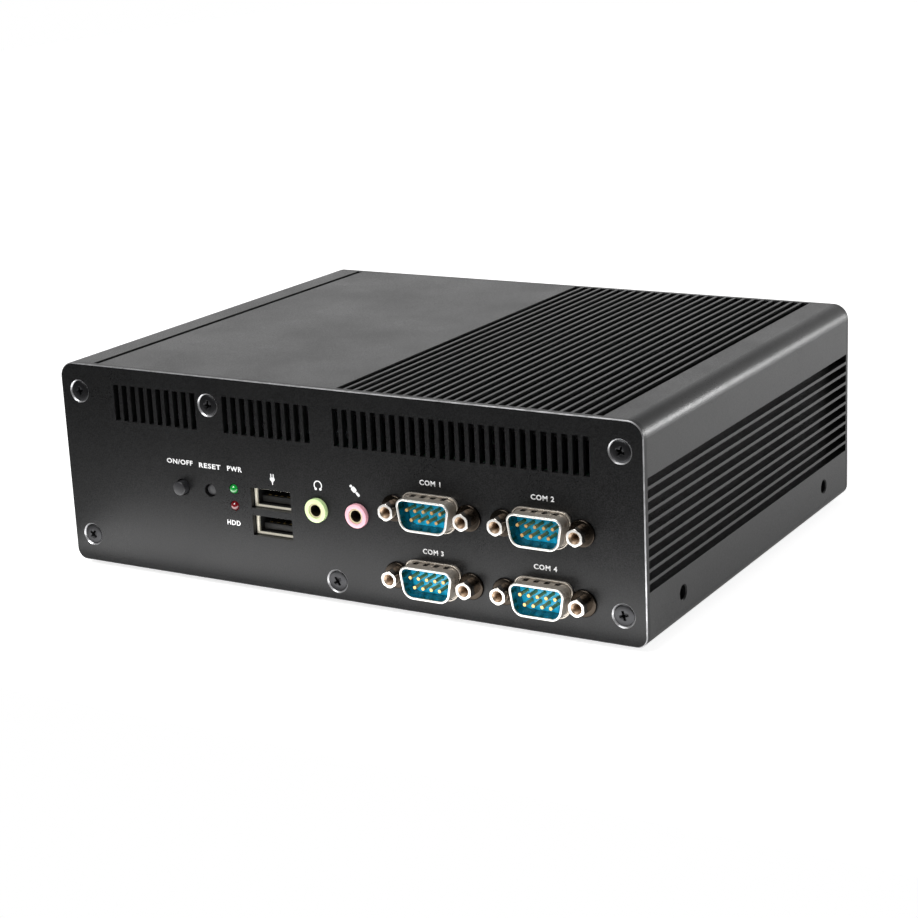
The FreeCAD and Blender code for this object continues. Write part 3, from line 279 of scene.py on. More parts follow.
def make_die_lines():
    """Faint lines along Y that an extrusion keeps from its die."""
    tree, start, end = new_group("die_lines", [("Across", "NodeSocketFloat", DIE_LINE_SIZE)],
                                 [("Lines", "NodeSocketFloat")])
    place = add(tree, "ShaderNodeTexCoord").outputs["Object"]
    stretched = add(tree, "ShaderNodeMapping", {"Vector": place, "Scale": (1.0, 0.004, 1.0)})
    lines = add(tree, "ShaderNodeTexNoise", {"Vector": stretched.outputs["Vector"],
                                             "Scale": start.outputs["Across"], "Detail": 1.0})
    tree.links.new(lines.outputs["Fac"], end.inputs["Lines"])
    return tree


def make_handling():
    """Uneven sheen from handling: broad soft patches and a few fine rubs."""
    tree, start, end = new_group("handling", [("Size", "NodeSocketFloat", 60.0)],
                                 [("Patches", "NodeSocketFloat"), ("Rubs", "NodeSocketFloat")])
    place = add(tree, "ShaderNodeTexCoord").outputs["Object"]
    patches = add(tree, "ShaderNodeTexNoise", {"Vector": place, "Scale": start.outputs["Size"],
                                               "Detail": 4.0, "Roughness": 0.6})
    turned = add(tree, "ShaderNodeMapping", {"Vector": place, "Rotation": (0.5, 0.3, 0.8),
                                             "Scale": (1.0, 9.0, 1.0)})
    rubs = add(tree, "ShaderNodeTexNoise", {"Vector": turned.outputs["Vector"], "Scale": 210.0,
                                            "Detail": 2.0})
    tree.links.new(span(tree, patches.outputs["Fac"], 0.35, 0.65), end.inputs["Patches"])
    tree.links.new(span(tree, rubs.outputs["Fac"], 0.66, 0.74), end.inputs["Rubs"])
    return tree


GRAIN = make_grain()
DIE_LINES = make_die_lines()
HANDLING = make_handling()


# ---------------------------------------------------------------- materials
def new_material(name, base=(0.5, 0.5, 0.5, 1), roughness=0.5, metallic=0.0, **sockets):
    material = bpy.data.materials.new(name)
    material.use_nodes = True
    material.diffuse_color = base
    shader = material.node_tree.nodes["Principled BSDF"]
    shader.inputs["Base Color"].default_value = base
    shader.inputs["Roughness"].default_value = roughness
    shader.inputs["Metallic"].default_value = metallic
    for label, value in sockets.items():
        shader.inputs[label.replace("_", " ")].default_value = value
    return material, material.node_tree, shader


def use(tree, group, **inputs):
    node = tree.nodes.new("ShaderNodeGroup")
    node.node_tree = group
    for label, value in inputs.items():
        node.inputs[label].default_value = value
    return node


def grey(level):
    return (level, level, level, 1)


def darkened(colour, share):
    return tuple(share*value for value in colour[:3]) + (1,)


def facing_y(tree):
    """How far the surface faces front or rear: 1 flat on, 0 along a side."""
    facing = add(tree, "ShaderNodeSeparateXYZ",
                 {0: add(tree, "ShaderNodeTexCoord").outputs["Normal"]})
    return math_node(tree, "ABSOLUTE", facing.outputs["Y"])


def bump(tree, shader, height, strength, distance):
    node = add(tree, "ShaderNodeBump",
               {"Height": height, "Strength": strength, "Distance": distance})
    tree.links.new(node.outputs["Normal"], shader.inputs["Normal"])


PIT_BLACK = (0.0012, 0.0012, 0.0013, 1)
FLECK_BLACK = (0.0125, 0.0127, 0.0131, 1)
CLOUD_BLACK = (0.009, 0.009, 0.0095, 1)
BARE_EDGE = (0.55, 0.55, 0.56, 1)
PATCH_SHEEN = 0.025
FLECK_SHEEN = 0.07


def anodised(name, extruded, specular, roughness):
    """Black anodising over blasted aluminium; an extrusion also keeps its die lines."""
    material, tree, shader = new_material(name, grey(0.01), roughness, 0.0,
                                          Specular_IOR_Level=specular)
    grain = use(tree, GRAIN, Size=GRAIN_SIZE)
    handling = use(tree, HANDLING, Size=42.0)
    colour = blend_colour(tree, grain.outputs["Flecks"], PIT_BLACK, FLECK_BLACK)
    clouds = span(tree, grain.outputs["Clouds"], 0.0, 1.0, 0.0, 0.25)
    colour = blend_colour(tree, clouds, colour, CLOUD_BLACK)
    rough = span(tree, handling.outputs["Patches"], 0.0, 1.0,
                 roughness - PATCH_SHEEN, roughness + PATCH_SHEEN)
    rough = math_node(tree, "ADD", rough,
                      span(tree, grain.outputs["Flecks"], 0.0, 1.0, -FLECK_SHEEN, FLECK_SHEEN))
    height = grain.outputs["Height"]
    if extruded:
        lines = use(tree, DIE_LINES, Across=DIE_LINE_SIZE)
        height = math_node(tree, "ADD", height,
                           math_node(tree, "MULTIPLY", lines.outputs["Lines"], 0.12))
    tree.links.new(colour, shader.inputs["Base Color"])
    tree.links.new(rough, shader.inputs["Roughness"])
    bump(tree, shader, height, 0.45, 0.00006)
    return material, tree, shader


def bare_edges(tree, shader):
    """Bright metal on the broken rim of a plate and in its countersinks."""
    turned = facing_y(tree)
    slanted = math_node(tree, "MULTIPLY", span(tree, turned, 0.99, 0.9),
                        span(tree, turned, 0.25, 0.5))
    worn = use(tree, HANDLING, Size=300.0)
    mask = math_node(tree, "MULTIPLY", slanted,
                     span(tree, worn.outputs["Patches"], 0.0, 0.6, 0.6, 1.0))
    colour = shader.inputs["Base Color"].links[0].from_socket
    tree.links.new(blend_colour(tree, mask, colour, BARE_EDGE), shader.inputs["Base Color"])
    tree.links.new(math_node(tree, "MULTIPLY", mask, 0.9), shader.inputs["Metallic"])


def metal(name, base, roughness, patches=0.08, size=90.0, rub=0.05, metallic=1.0):
    """Plated or bare metal with an uneven sheen."""
    material, tree, shader = new_material(name, base, roughness, metallic)
    handling = use(tree, HANDLING, Size=size)
    rough = span(tree, handling.outputs["Patches"], 0.0, 1.0,
                 roughness - patches/2, roughness + patches/2)
    rough = math_node(tree, "ADD", rough,
                      math_node(tree, "MULTIPLY", handling.outputs["Rubs"], rub))
    dulled = span(tree, handling.outputs["Patches"], 0.0, 1.0, 0.0, 0.5)
    colour = blend_colour(tree, dulled, base, darkened(base, 0.72))
    tree.links.new(colour, shader.inputs["Base Color"])
    tree.links.new(rough, shader.inputs["Roughness"])
    grain = use(tree, GRAIN, Size=4200.0)
    bump(tree, shader, grain.outputs["Height"], 0.12, 0.00002)
    return material


def moulded(name, base, roughness, size=2400.0, coat=0.0):
    """Moulded plastic with a fine texture and slightly uneven colour."""
    material, tree, shader = new_material(name, base, roughness, 0.0, Coat_Weight=coat,
                                          Coat_Roughness=0.1)
    grain = use(tree, GRAIN, Size=size)
    clouds = span(tree, grain.outputs["Clouds"], 0.0, 1.0, 0.0, 0.6)
    colour = blend_colour(tree, clouds, base, darkened(base, 0.78))
    tree.links.new(colour, shader.inputs["Base Color"])
    rough = span(tree, grain.outputs["Flecks"], 0.0, 1.0, roughness - 0.04, roughness + 0.06)
    tree.links.new(rough, shader.inputs["Roughness"])
    bump(tree, shader, grain.outputs["Height"], 0.18, 0.00004)
    return material


def sleeve():
    """A turned sleeve: pale where its end faces the front, and painted shade inside, along its
    bore.
    """
    material, tree, shader = new_material("turned_sleeve", (0.6, 0.54, 0.34, 1), 0.35, 0.5)
    # Painted shade: faces that turn away from the front take a near-black brown.
    shaded_wall = span(tree, facing_y(tree), 0.9, 0.4)
    worn = use(tree, HANDLING, Size=500.0)
    pale = blend_colour(tree, worn.outputs["Patches"], (0.66, 0.60, 0.38, 1),
                        (0.50, 0.45, 0.28, 1))
    tree.links.new(blend_colour(tree, shaded_wall, pale, (0.035, 0.028, 0.015, 1)),
                   shader.inputs["Base Color"])
    rough = span(tree, worn.outputs["Patches"], 0.0, 1.0, 0.3, 0.4)
    tree.links.new(rough, shader.inputs["Roughness"])
    return material


def lens(name, base, glow):
    """Tinted epoxy lamp that shines a little from inside."""
    material, tree, shader = new_material(name, base, 0.12, 0.0, Coat_Weight=1.0,
                                          Coat_Roughness=0.05, Emission_Strength=0.12)
    place = add(tree, "ShaderNodeTexCoord").outputs["Object"]
    cloud = add(tree, "ShaderNodeTexNoise", {"Vector": place, "Scale": 700.0, "Detail": 1.0})
    tint = span(tree, cloud.outputs["Fac"], 0.35, 0.65)
    shine = span(tree, cloud.outputs["Fac"], 0.3, 0.7)
    tree.links.new(blend_colour(tree, tint, base, darkened(base, 0.6)),
                   shader.inputs["Base Color"])
    tree.links.new(blend_colour(tree, shine, glow, darkened(glow, 0.5)),
                   shader.inputs["Emission Color"])
    return material


def board_material():
    """Green solder mask over copper tracks."""
    material, tree, shader = new_material("solder_mask", (0.01, 0.09, 0.04, 1), 0.35, 0.0)
    place = add(tree, "ShaderNodeTexCoord").outputs["Object"]
    tracks = add(tree, "ShaderNodeTexVoronoi", {"Vector": place, "Scale": 420.0},
                 distance="MANHATTAN")
    fine = add(tree, "ShaderNodeTexNoise", {"Vector": place, "Scale": 160.0, "Detail": 3.0})
    mask = span(tree, tracks.outputs["Distance"], 0.30, 0.36)
    mask = math_node(tree, "MULTIPLY", mask, span(tree, fine.outputs["Fac"], 0.45, 0.55))
    tree.links.new(blend_colour(tree, mask, (0.008, 0.075, 0.035, 1), (0.03, 0.17, 0.07, 1)),
                   shader.inputs["Base Color"])
    tree.links.new(span(tree, mask, 0.0, 1.0, 0.42, 0.28), shader.inputs["Roughness"])
    bump(tree, shader, mask, 0.2, 0.00005)
    return material


EXTRUSION, _, _ = anodised("black_extrusion", True, 0.40, 0.36)
PLATE, plate_tree, plate_shader = anodised("black_plate", False, 0.25, 0.36)
bare_edges(plate_tree, plate_shader)
SHELL = metal("tinned_steel", (0.80, 0.78, 0.74, 1), 0.34, metallic=0.75)
NICKEL = metal("bright_nickel", (0.78, 0.75, 0.70, 1), 0.18)
GOLD = metal("gold_plating", (0.86, 0.62, 0.26, 1), 0.22, size=400.0)
PIN_GOLD = metal("pin_gold", (0.66, 0.40, 0.15, 1), 0.38, size=400.0, metallic=0.8)
# Painted teal reflection: steel coloured teal, given to the inner walls of the port shells.
PAINTED_TEAL_REFLECTION = metal("steel_painted_teal_reflection", (0.06, 0.24, 0.25, 1), 0.28, patches=0.2, size=420.0)
BLACK_SCREW = metal("black_oxide", (0.045, 0.045, 0.047, 1), 0.38, rub=0.1)
ALUMINIUM = metal("milled_aluminium", (0.72, 0.73, 0.75, 1), 0.35)
SLEEVE = sleeve()
# Lit copy of the jackscrew nickel for its turned face: painted light, brighter and partly diffuse.
LIT_FACE_NICKEL = metal("nickel_painted_lit_face", (0.88, 0.86, 0.82, 1), 0.3, metallic=0.55)
# Painted shade: near-black steel for the hollows of the dimples and the gap behind the rim.
SHADOW = metal("steel_painted_shade_in_hollows", (0.03, 0.027, 0.024, 1), 0.5)
# Painted shade: a darker, warmer copy of the shell steel for the outer walls, the rim and the
# collar.
SHADED_OUTSIDE_STEEL = metal("steel_painted_shade_outside", (0.52, 0.47, 0.41, 1), 0.28, patches=0.2, metallic=0.6)
# Painted shade: a darker copy of the jackscrew nickel for the sides of the pillar.
SHADED_SIDE_NICKEL = metal("nickel_painted_shade_sides", (0.34, 0.31, 0.28, 1), 0.2, patches=0.16)
WASHER = metal("dark_washer", (0.035, 0.028, 0.022, 1), 0.25, patches=0.14)
# Painted shade in part: the bore takes a darker, brownish metal than the face; its brown is taken
# as brass.
SHADED_BORE_METAL = metal("threaded_bore_painted_shade", (0.42, 0.31, 0.22, 1), 0.5)
CAGE = metal("port_cage_steel", (0.98, 0.93, 0.78, 1), 0.42, metallic=0.3)
JET = moulded("jet_black_moulding", (0.006, 0.006, 0.006, 1), 0.5)
ZINC = metal("zinc_sheet", (0.6, 0.61, 0.63, 1), 0.4)
TEAL = moulded("teal_moulding", (0.010, 0.56, 0.94, 1), 0.35)
BLUE = moulded("blue_moulding", (0.01, 0.05, 0.4, 1), 0.35)
BLACK = moulded("black_moulding", (0.014, 0.014, 0.015, 1), 0.42)
CAP = moulded("button_cap_black", (0.018, 0.018, 0.02, 1), 0.35)
GREY = moulded("grey_moulding", (0.045, 0.045, 0.047, 1), 0.45)
LIME = moulded("lime_moulding", (0.66, 0.87, 0.42, 1), 0.3, coat=0.4)
PINK = moulded("pink_moulding", (0.92, 0.46, 0.53, 1), 0.3, coat=0.4)
RUBBER = moulded("soft_rubber", (0.016, 0.016, 0.016, 1), 0.75)
CHIP = moulded("chip_moulding", (0.02, 0.02, 0.02, 1), 0.5)
PAD = moulded("gap_filler", (0.4, 0.42, 0.46, 1), 0.7)
GREEN_LENS = lens("green_lens", (0.004, 0.22, 0.03, 1), (0.01, 0.8, 0.1, 1))
RED_LENS = lens("red_lens", (0.12, 0.001, 0.003, 1), (0.4, 0.0, 0.01, 1))
AMBER_LENS = lens("amber_lens", (0.45, 0.16, 0.005, 1), (0.9, 0.35, 0.01, 1))
BOARD = board_material()
INK = moulded("white_ink", (0.82, 0.82, 0.82, 1), 0.55, size=5000.0)

NODE_MATERIALS = {
    "finned_cover": EXTRUSION, "base_channel": EXTRUSION, "front_panel": PLATE, "rear_panel": PLATE,
    "rubber_feet": RUBBER, "power_led": GREEN_LENS, "drive_led": RED_LENS, "led_spacers": BLACK,
    "button_switches": BLACK, "usb_core": BLACK, "usb_contacts": GOLD, "jack_sleeves": SLEEVE,
    "vga_core": BLUE, "power_inlet": BLACK, "power_inlet_pin": NICKEL, "hdmi_core": BLACK,
    "io_board": BOARD, "main_board": BOARD, "memory_module": BOARD, "board_standoffs": NICKEL,
    "board_screws": NICKEL, "processor": CHIP, "thermal_pad": PAD, "heat_block": ALUMINIUM,
    "memory_socket": BLACK, "battery_holder": BLACK, "clock_battery": SHELL, "board_coils": GREY,
    "board_capacitors": SHELL, "board_link": BLACK, "drive_bracket": ZINC, "drive_screws": NICKEL,
    "solid_state_drive": ALUMINIUM, "lan_usb_a_core": BLACK, "lan_usb_b_core": BLACK,
    "lan_usb_a_shell": SHELL, "lan_usb_b_shell": SHELL, "hdmi_shell": SHELL, "usb_shell": SHELL,
    "headphone_jack": LIME, "mic_jack": PINK, "power_button": CAP, "reset_button": GREY,
    "panel_screws": BLACK_SCREW, "port_jackscrews": NICKEL, "vga_shell": SHELL,
}
SERIAL_PORTS = range(1, 5)
for index in SERIAL_PORTS:
    NODE_MATERIALS["com_%d_shell" % index] = SHELL
    NODE_MATERIALS["com_%d_insulator" % index] = TEAL
    NODE_MATERIALS["com_%d_pins" % index] = PIN_GOLD
for name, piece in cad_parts.items():
    for place in range(max(1, len(piece.material_slots))):
        if not piece.material_slots:
            piece.data.materials.append(NODE_MATERIALS[name])
        piece.material_slots[place].material = NODE_MATERIALS[name]


# ---------------------------------------------------------------- printing on the two plates
INK_LIFT = 0.02*MM
INK_DEPTH = 0.015*MM
LETTER_HEIGHT = 1.6*MM
HALF_TURN = Matrix.Rotation(math.pi, 4, "Z")


def printed(text, name, x, z, width, rear=False):
    """Words in white ink, their middle at x and z, on the front plate or the rear one."""
    deselect()
    bpy.ops.object.text_add(location=(0, 0, 0), rotation=(0, 0, 0))
    words = bpy.context.object
    words.data.body = text
    words.data.align_x = "CENTER"
    words.data.align_y = "CENTER"
    words.data.size = 1.0
    words.data.offset = 0.03
    words.data.space_character = 1.12
    words.data.extrude = 0.0
    words.data.resolution_u = 3
    activate(words)
    bpy.ops.object.convert(target="MESH")
    low = [min(vertex.co[axis] for vertex in words.data.vertices) for axis in (0, 1)]
    high = [max(vertex.co[axis] for vertex in words.data.vertices) for axis in (0, 1)]
    scale_x = width/(high[0] - low[0])
    scale_y = LETTER_HEIGHT/(high[1] - low[1])
    centre = Matrix.Translation((-(low[0] + high[0])/2, -(low[1] + high[1])/2, 0))
    size = Matrix.Diagonal((scale_x, scale_y, 1, 1))
    upright = Matrix.Rotation(math.radians(90), 4, "X")
    words.data.transform(Matrix.Translation((x, FRONT - INK_LIFT, z)) @ upright @ size @ centre)
    if rear:
        words.data.transform(Matrix.Translation((2*x, FRONT + REAR, 0)) @ HALF_TURN)
    thicken = words.modifiers.new("ink", "SOLIDIFY")
    thicken.thickness = INK_DEPTH
    apply_all(words)
    return finish_piece(words, name, INK)


def ink_bar(low_x, high_x, low_z, high_z):
    """A rounded bar of ink, as part of a pictogram."""
    bar = brick((low_x, FRONT - INK_LIFT - INK_DEPTH, low_z), (high_x, FRONT - INK_LIFT, high_z))
    edit(bar, "EDGE")
    pick_edges(bar, along_y)
    bpy.ops.mesh.bevel(offset=0.4*min(high_x - low_x, high_z - low_z), segments=4)
    leave_edit()
    return bar


def pictogram_socket(x, z):
    """A plug seen from the side: two prongs, a body, its neck and a lead."""
    parts = [ink_bar(x - 0.85*MM, x + 0.85*MM, z - 0.6*MM, z + 0.5*MM),
             ink_bar(x - 0.6*MM, x - 0.25*MM, z + 0.4*MM, z + 1.6*MM),
             ink_bar(x + 0.25*MM, x + 0.6*MM, z + 0.4*MM, z + 1.6*MM),
             ink_bar(x - 0.4*MM, x + 0.4*MM, z - 1.0*MM, z - 0.5*MM),
             ink_bar(x - 0.17*MM, x + 0.17*MM, z - 1.8*MM, z - 0.9*MM)]
    return finish_piece(merged(parts, "usb_mark"), "usb_mark", INK)


def pictogram_headphones(x, z):
    """A wide open ring for the band, with two small ear cups turned inwards."""
    band_radius = 1.3*MM
    band_half = 0.18*MM
    deselect()
    bpy.ops.mesh.primitive_torus_add(major_radius=band_radius, minor_radius=band_half,
                                     major_segments=48, minor_segments=8,
                                     rotation=(math.radians(90), 0, 0))
    band = bpy.context.object
    settle(band)
    edit(band, "FACE")
    bpy.ops.mesh.select_all(action="SELECT")
    bpy.ops.mesh.bisect(plane_co=(0, 0, -0.85*MM), plane_no=(0, 0, 1), use_fill=True,
                        clear_inner=True)
    bpy.ops.mesh.select_all(action="SELECT")
    bpy.ops.transform.resize(value=(1, INK_DEPTH/(2*band_half), 1))
    leave_edit()
    band.data.transform(Matrix.Translation((x, FRONT - INK_LIFT - INK_DEPTH/2, z)))
    parts = [band, ink_bar(x - 1.25*MM, x - 0.4*MM, z - 1.5*MM, z - 0.75*MM),
             ink_bar(x + 0.4*MM, x + 1.25*MM, z - 1.5*MM, z - 0.75*MM)]
    return finish_piece(merged(parts, "headphone_mark"), "headphone_mark", INK)


def pictogram_microphone(x, z):
    """A hand microphone lying at a slant: head, collar and handle."""
    parts = [ink_bar(x - 2.1*MM, x - 1.4*MM, z - 0.45*MM, z + 0.45*MM),
             ink_bar(x - 1.3*MM, x + 0.6*MM, z - 0.75*MM, z + 0.75*MM),
             ink_bar(x + 0.7*MM, x + 2.3*MM, z - 0.4*MM, z + 0.4*MM)]
    mark = merged(parts, "microphone_mark")
    slant = Matrix.Rotation(math.radians(45), 4, "Y")
    mark.data.transform(Matrix.Translation((x, 0, z)) @ slant @ Matrix.Translation((-x, 0, -z)))
    return finish_piece(mark, "microphone_mark", INK)


# Words, name of the piece, then x, z and width in millimetres.
LEGENDS = (
    ("ON/OFF", "legend_on_off", -56.5, 39.0, 9.9),
    ("RESET", "legend_reset", -45.1, 38.8, 8.2),
    ("PWR", "legend_power", -35.8, 38.9, 5.5),
    ("HDD", "legend_drive", -37.5, 21.7, 5.0),
    ("COM 1", "legend_com_1", 33.3, 42.2, 7.0),
    ("COM 2", "legend_com_2", 69.7, 42.1, 7.4),
    ("COM 3", "legend_com_3", 33.3, 21.4, 7.0),
    ("COM 4", "legend_com_4", 69.9, 21.7, 7.4),
)
REAR_LEGENDS = (
    ("DC IN", "legend_dc_in", 65.0, 29.2, 6.4),
    ("VGA", "legend_vga", 40.0, 30.6, 4.6),
    ("DISPLAY", "legend_display", -14.0, 24.2, 8.6),
    ("LAN 1", "legend_lan_1", -40.0, 46.8, 6.6),
    ("LAN 2", "legend_lan_2", -61.0, 46.8, 6.6),
)
for legends, rear in ((LEGENDS, False), (REAR_LEGENDS, True)):
    for text, name, x, z, width in legends:
        printed(text, name, x*MM, z*MM, width*MM, rear)
pictogram_socket(-22.0*MM, 37.3*MM)
pictogram_headphones(-5.6*MM, 37.2*MM)
pictogram_microphone(7.3*MM, 37.1*MM)


# ---------------------------------------------------------------- serial and monitor ports
PORT_WIDTH = 18.3*MM
PORT_TALL = 9.8*MM
PORT_TAPER = PORT_TALL*math.tan(math.radians(10))
PORT_CORNER = 2.9*MM
PORT_WALL = 0.7*MM
PORT_DEPTH = 6.4*MM
SHELL_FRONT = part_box("com_1_shell")[0].y
FLANGE_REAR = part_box("com_1_shell")[1].y
FLANGE_WIDTH = 30.8*MM
FLANGE_TALL = 12.4*MM
FLANGE_SHEET = 1.0*MM
DIMPLE_PLACES = (-5.1*MM, -1.7*MM, 1.7*MM, 5.1*MM)
DIMPLE_WIDTH = 1.6*MM
DIMPLE_DEEP = 0.45*MM
DIMPLE_FRONT = FRONT - 2.3*MM
DIMPLE_REAR = FRONT - 0.5*MM
RIM_FRONT = FRONT - 0.75*MM
# Places of the finishes in the list that a shell is given. The teal one is a painted teal
# reflection on the inner walls, the near-black one painted shade in the dimples and the gap, and
# the darker outside one painted shade.
TEAL_REFLECTION_PLACE, PAINTED_SHADE_PLACE, SHADED_OUTSIDE_PLACE = 1, 2, 3


def d_block(name, front, rear, grow=0.0):
    """A block with the D outline of a port: wider above than below, with rounded corners."""
    half = PORT_WIDTH/2 + grow
    tall = PORT_TALL/2 + grow
    block = brick((-half, front, -tall), (half, rear, tall))
    edit(block, "FACE")
    pick_faces(block, lambda centre, normal: normal.z < -0.9)
    shrink = (half - PORT_TAPER)/half
    bpy.ops.transform.resize(value=(shrink, 1, 1), center_override=(0, 0, 0))
    bpy.ops.mesh.select_mode(type="EDGE")
    pick_edges(block, along_y)
    bpy.ops.mesh.bevel(offset=PORT_CORNER + grow, segments=7)
    leave_edit()
    block.name = name
    return block


def make_port_shell():
    """Drawn steel shell: rolled mouth, rows of dimples, collar, proud rim and flange."""
    shell = d_block("port_shell", SHELL_FRONT, FLANGE_REAR)
    for side in (1, -1):
        for place in DIMPLE_PLACES:
            height = side*(PORT_TALL/2 + 0.05*MM)
            dimple = brick((place - DIMPLE_WIDTH/2, DIMPLE_FRONT, height - DIMPLE_DEEP),
                           (place + DIMPLE_WIDTH/2, DIMPLE_REAR, height + DIMPLE_DEEP))
            bevelled(dimple, 0.2*MM, 3)
            carved(shell, dimple)
    edit(shell, "FACE")
    mouth = SHELL_FRONT + WELD
    pick_faces(shell, lambda centre, normal: normal.y < -0.9 and centre.y < mouth)
    bpy.ops.mesh.inset(thickness=PORT_WALL)
    bpy.ops.mesh.extrude_region_move(TRANSFORM_OT_translate={"value": (0, PORT_DEPTH, 0)})
    bpy.ops.mesh.select_mode(type="EDGE")
    pick_edges(shell, lambda a, b: a.y < mouth and b.y < mouth)
    bpy.ops.mesh.bevel(offset=0.3*MM, segments=4)
    leave_edit()

    collar = d_block("collar", FRONT - 0.3*MM, FLANGE_REAR, grow=0.2*MM)
    rim = d_block("rim", RIM_FRONT, FRONT + 0.02*MM, grow=0.7*MM)
    gap = d_block("gap", FRONT - 1.0*MM, FRONT - 0.2*MM, grow=0.3*MM)
    carved(rim, gap)
    carved(rim, d_block("opening", FRONT - 2*MM, FLANGE_REAR, grow=-0.3*MM))
    bevelled(rim, 0.15*MM, 3)
    flange = brick((-FLANGE_WIDTH/2, FLANGE_REAR - FLANGE_SHEET, -FLANGE_TALL/2),
                   (FLANGE_WIDTH/2, FLANGE_REAR, FLANGE_TALL/2))
    edit(flange, "EDGE")
    pick_edges(flange, along_y)
    bpy.ops.mesh.bevel(offset=1.2*MM, segments=4)
    leave_edit()
    carved(collar, d_block("opening", FRONT - 2*MM, FLANGE_REAR + 1*MM, grow=-0.3*MM))
    piece = merged([shell, collar, rim, flange], "port_shell")
    piece.data.materials.clear()
    for finish in (SHELL, PAINTED_TEAL_REFLECTION, SHADOW, SHADED_OUTSIDE_STEEL):
        piece.data.materials.append(finish)
    wall_middle = PORT_TALL/2 - 0.5*PORT_WALL
    for face in piece.data.polygons:
        centre = face.center
        outward = face.normal.x*centre.x + face.normal.z*centre.z
        inside = outward < -1*MM
        tube = SHELL_FRONT + 0.6*MM < centre.y < FRONT - 0.7*MM
        # Painted teal reflection on the inner walls of the tube.
        if inside and tube and abs(centre.z) < wall_middle:
            face.material_index = TEAL_REFLECTION_PLACE
        # Painted shade on the outer walls, the rim and the collar.
        if (outward > 1*MM and centre.y > SHELL_FRONT + 0.35*MM) or centre.y > RIM_FRONT - 0.01*MM:
            face.material_index = SHADED_OUTSIDE_PLACE
        # Painted shade: the dimple rows and the gap between rim and shell take the near-black
        # steel.
        row = DIMPLE_FRONT - 0.05*MM < centre.y < DIMPLE_REAR + 0.05*MM and abs(centre.x) < 6.0*MM
        if row and PORT_TALL/2 - 0.5*MM < abs(centre.z) < PORT_TALL/2 - 0.03*MM:
            face.material_index = PAINTED_SHADE_PLACE
        if FRONT - 0.7*MM < centre.y < FRONT - 0.18*MM and inside:
            face.material_index = PAINTED_SHADE_PLACE
    smooth(piece, 40)
    return piece


shell = make_port_shell()
for index in SERIAL_PORTS:
    centre = middle("com_%d_shell" % index)
    twin = copied(shell, "com_%d_rolled_shell" % index, (centre.x, 0, centre.z))
    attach(twin, "enclosure")
    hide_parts("com_%d_shell" % index)
centre = middle("vga_shell")
twin = copied(shell, "vga_rolled_shell", (centre.x, 0, centre.z), HALF_TURN)
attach(twin, "enclosure")
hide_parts("vga_shell")
bpy.data.objects.remove(shell, do_unlink=True)


# ---------------------------------------------------------------- jackscrews
SCREW_SPACING = 24.99*MM
SCREW_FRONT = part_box("port_jackscrews")[0].y
PILLAR_FLATS = 4.8*MM
FACE_RADIUS = 2.8*MM
THREAD_RADIUS = 1.2*MM
THREAD_DEEP = 4.0*MM
THREAD_AHEAD = 0.5*MM
THREAD_STEPS = 16
SINK_RADIUS = 1.85*MM
WASHER_RADIUS = 4.0*MM
WASHER_THICK = 0.8*MM
# Places of the finishes in the list that a pillar is given: painted shade on the sides, and painted
# shade in part in the bore.
SHADED_BORE_PLACE, SHADED_SIDE_PLACE = 1, 2


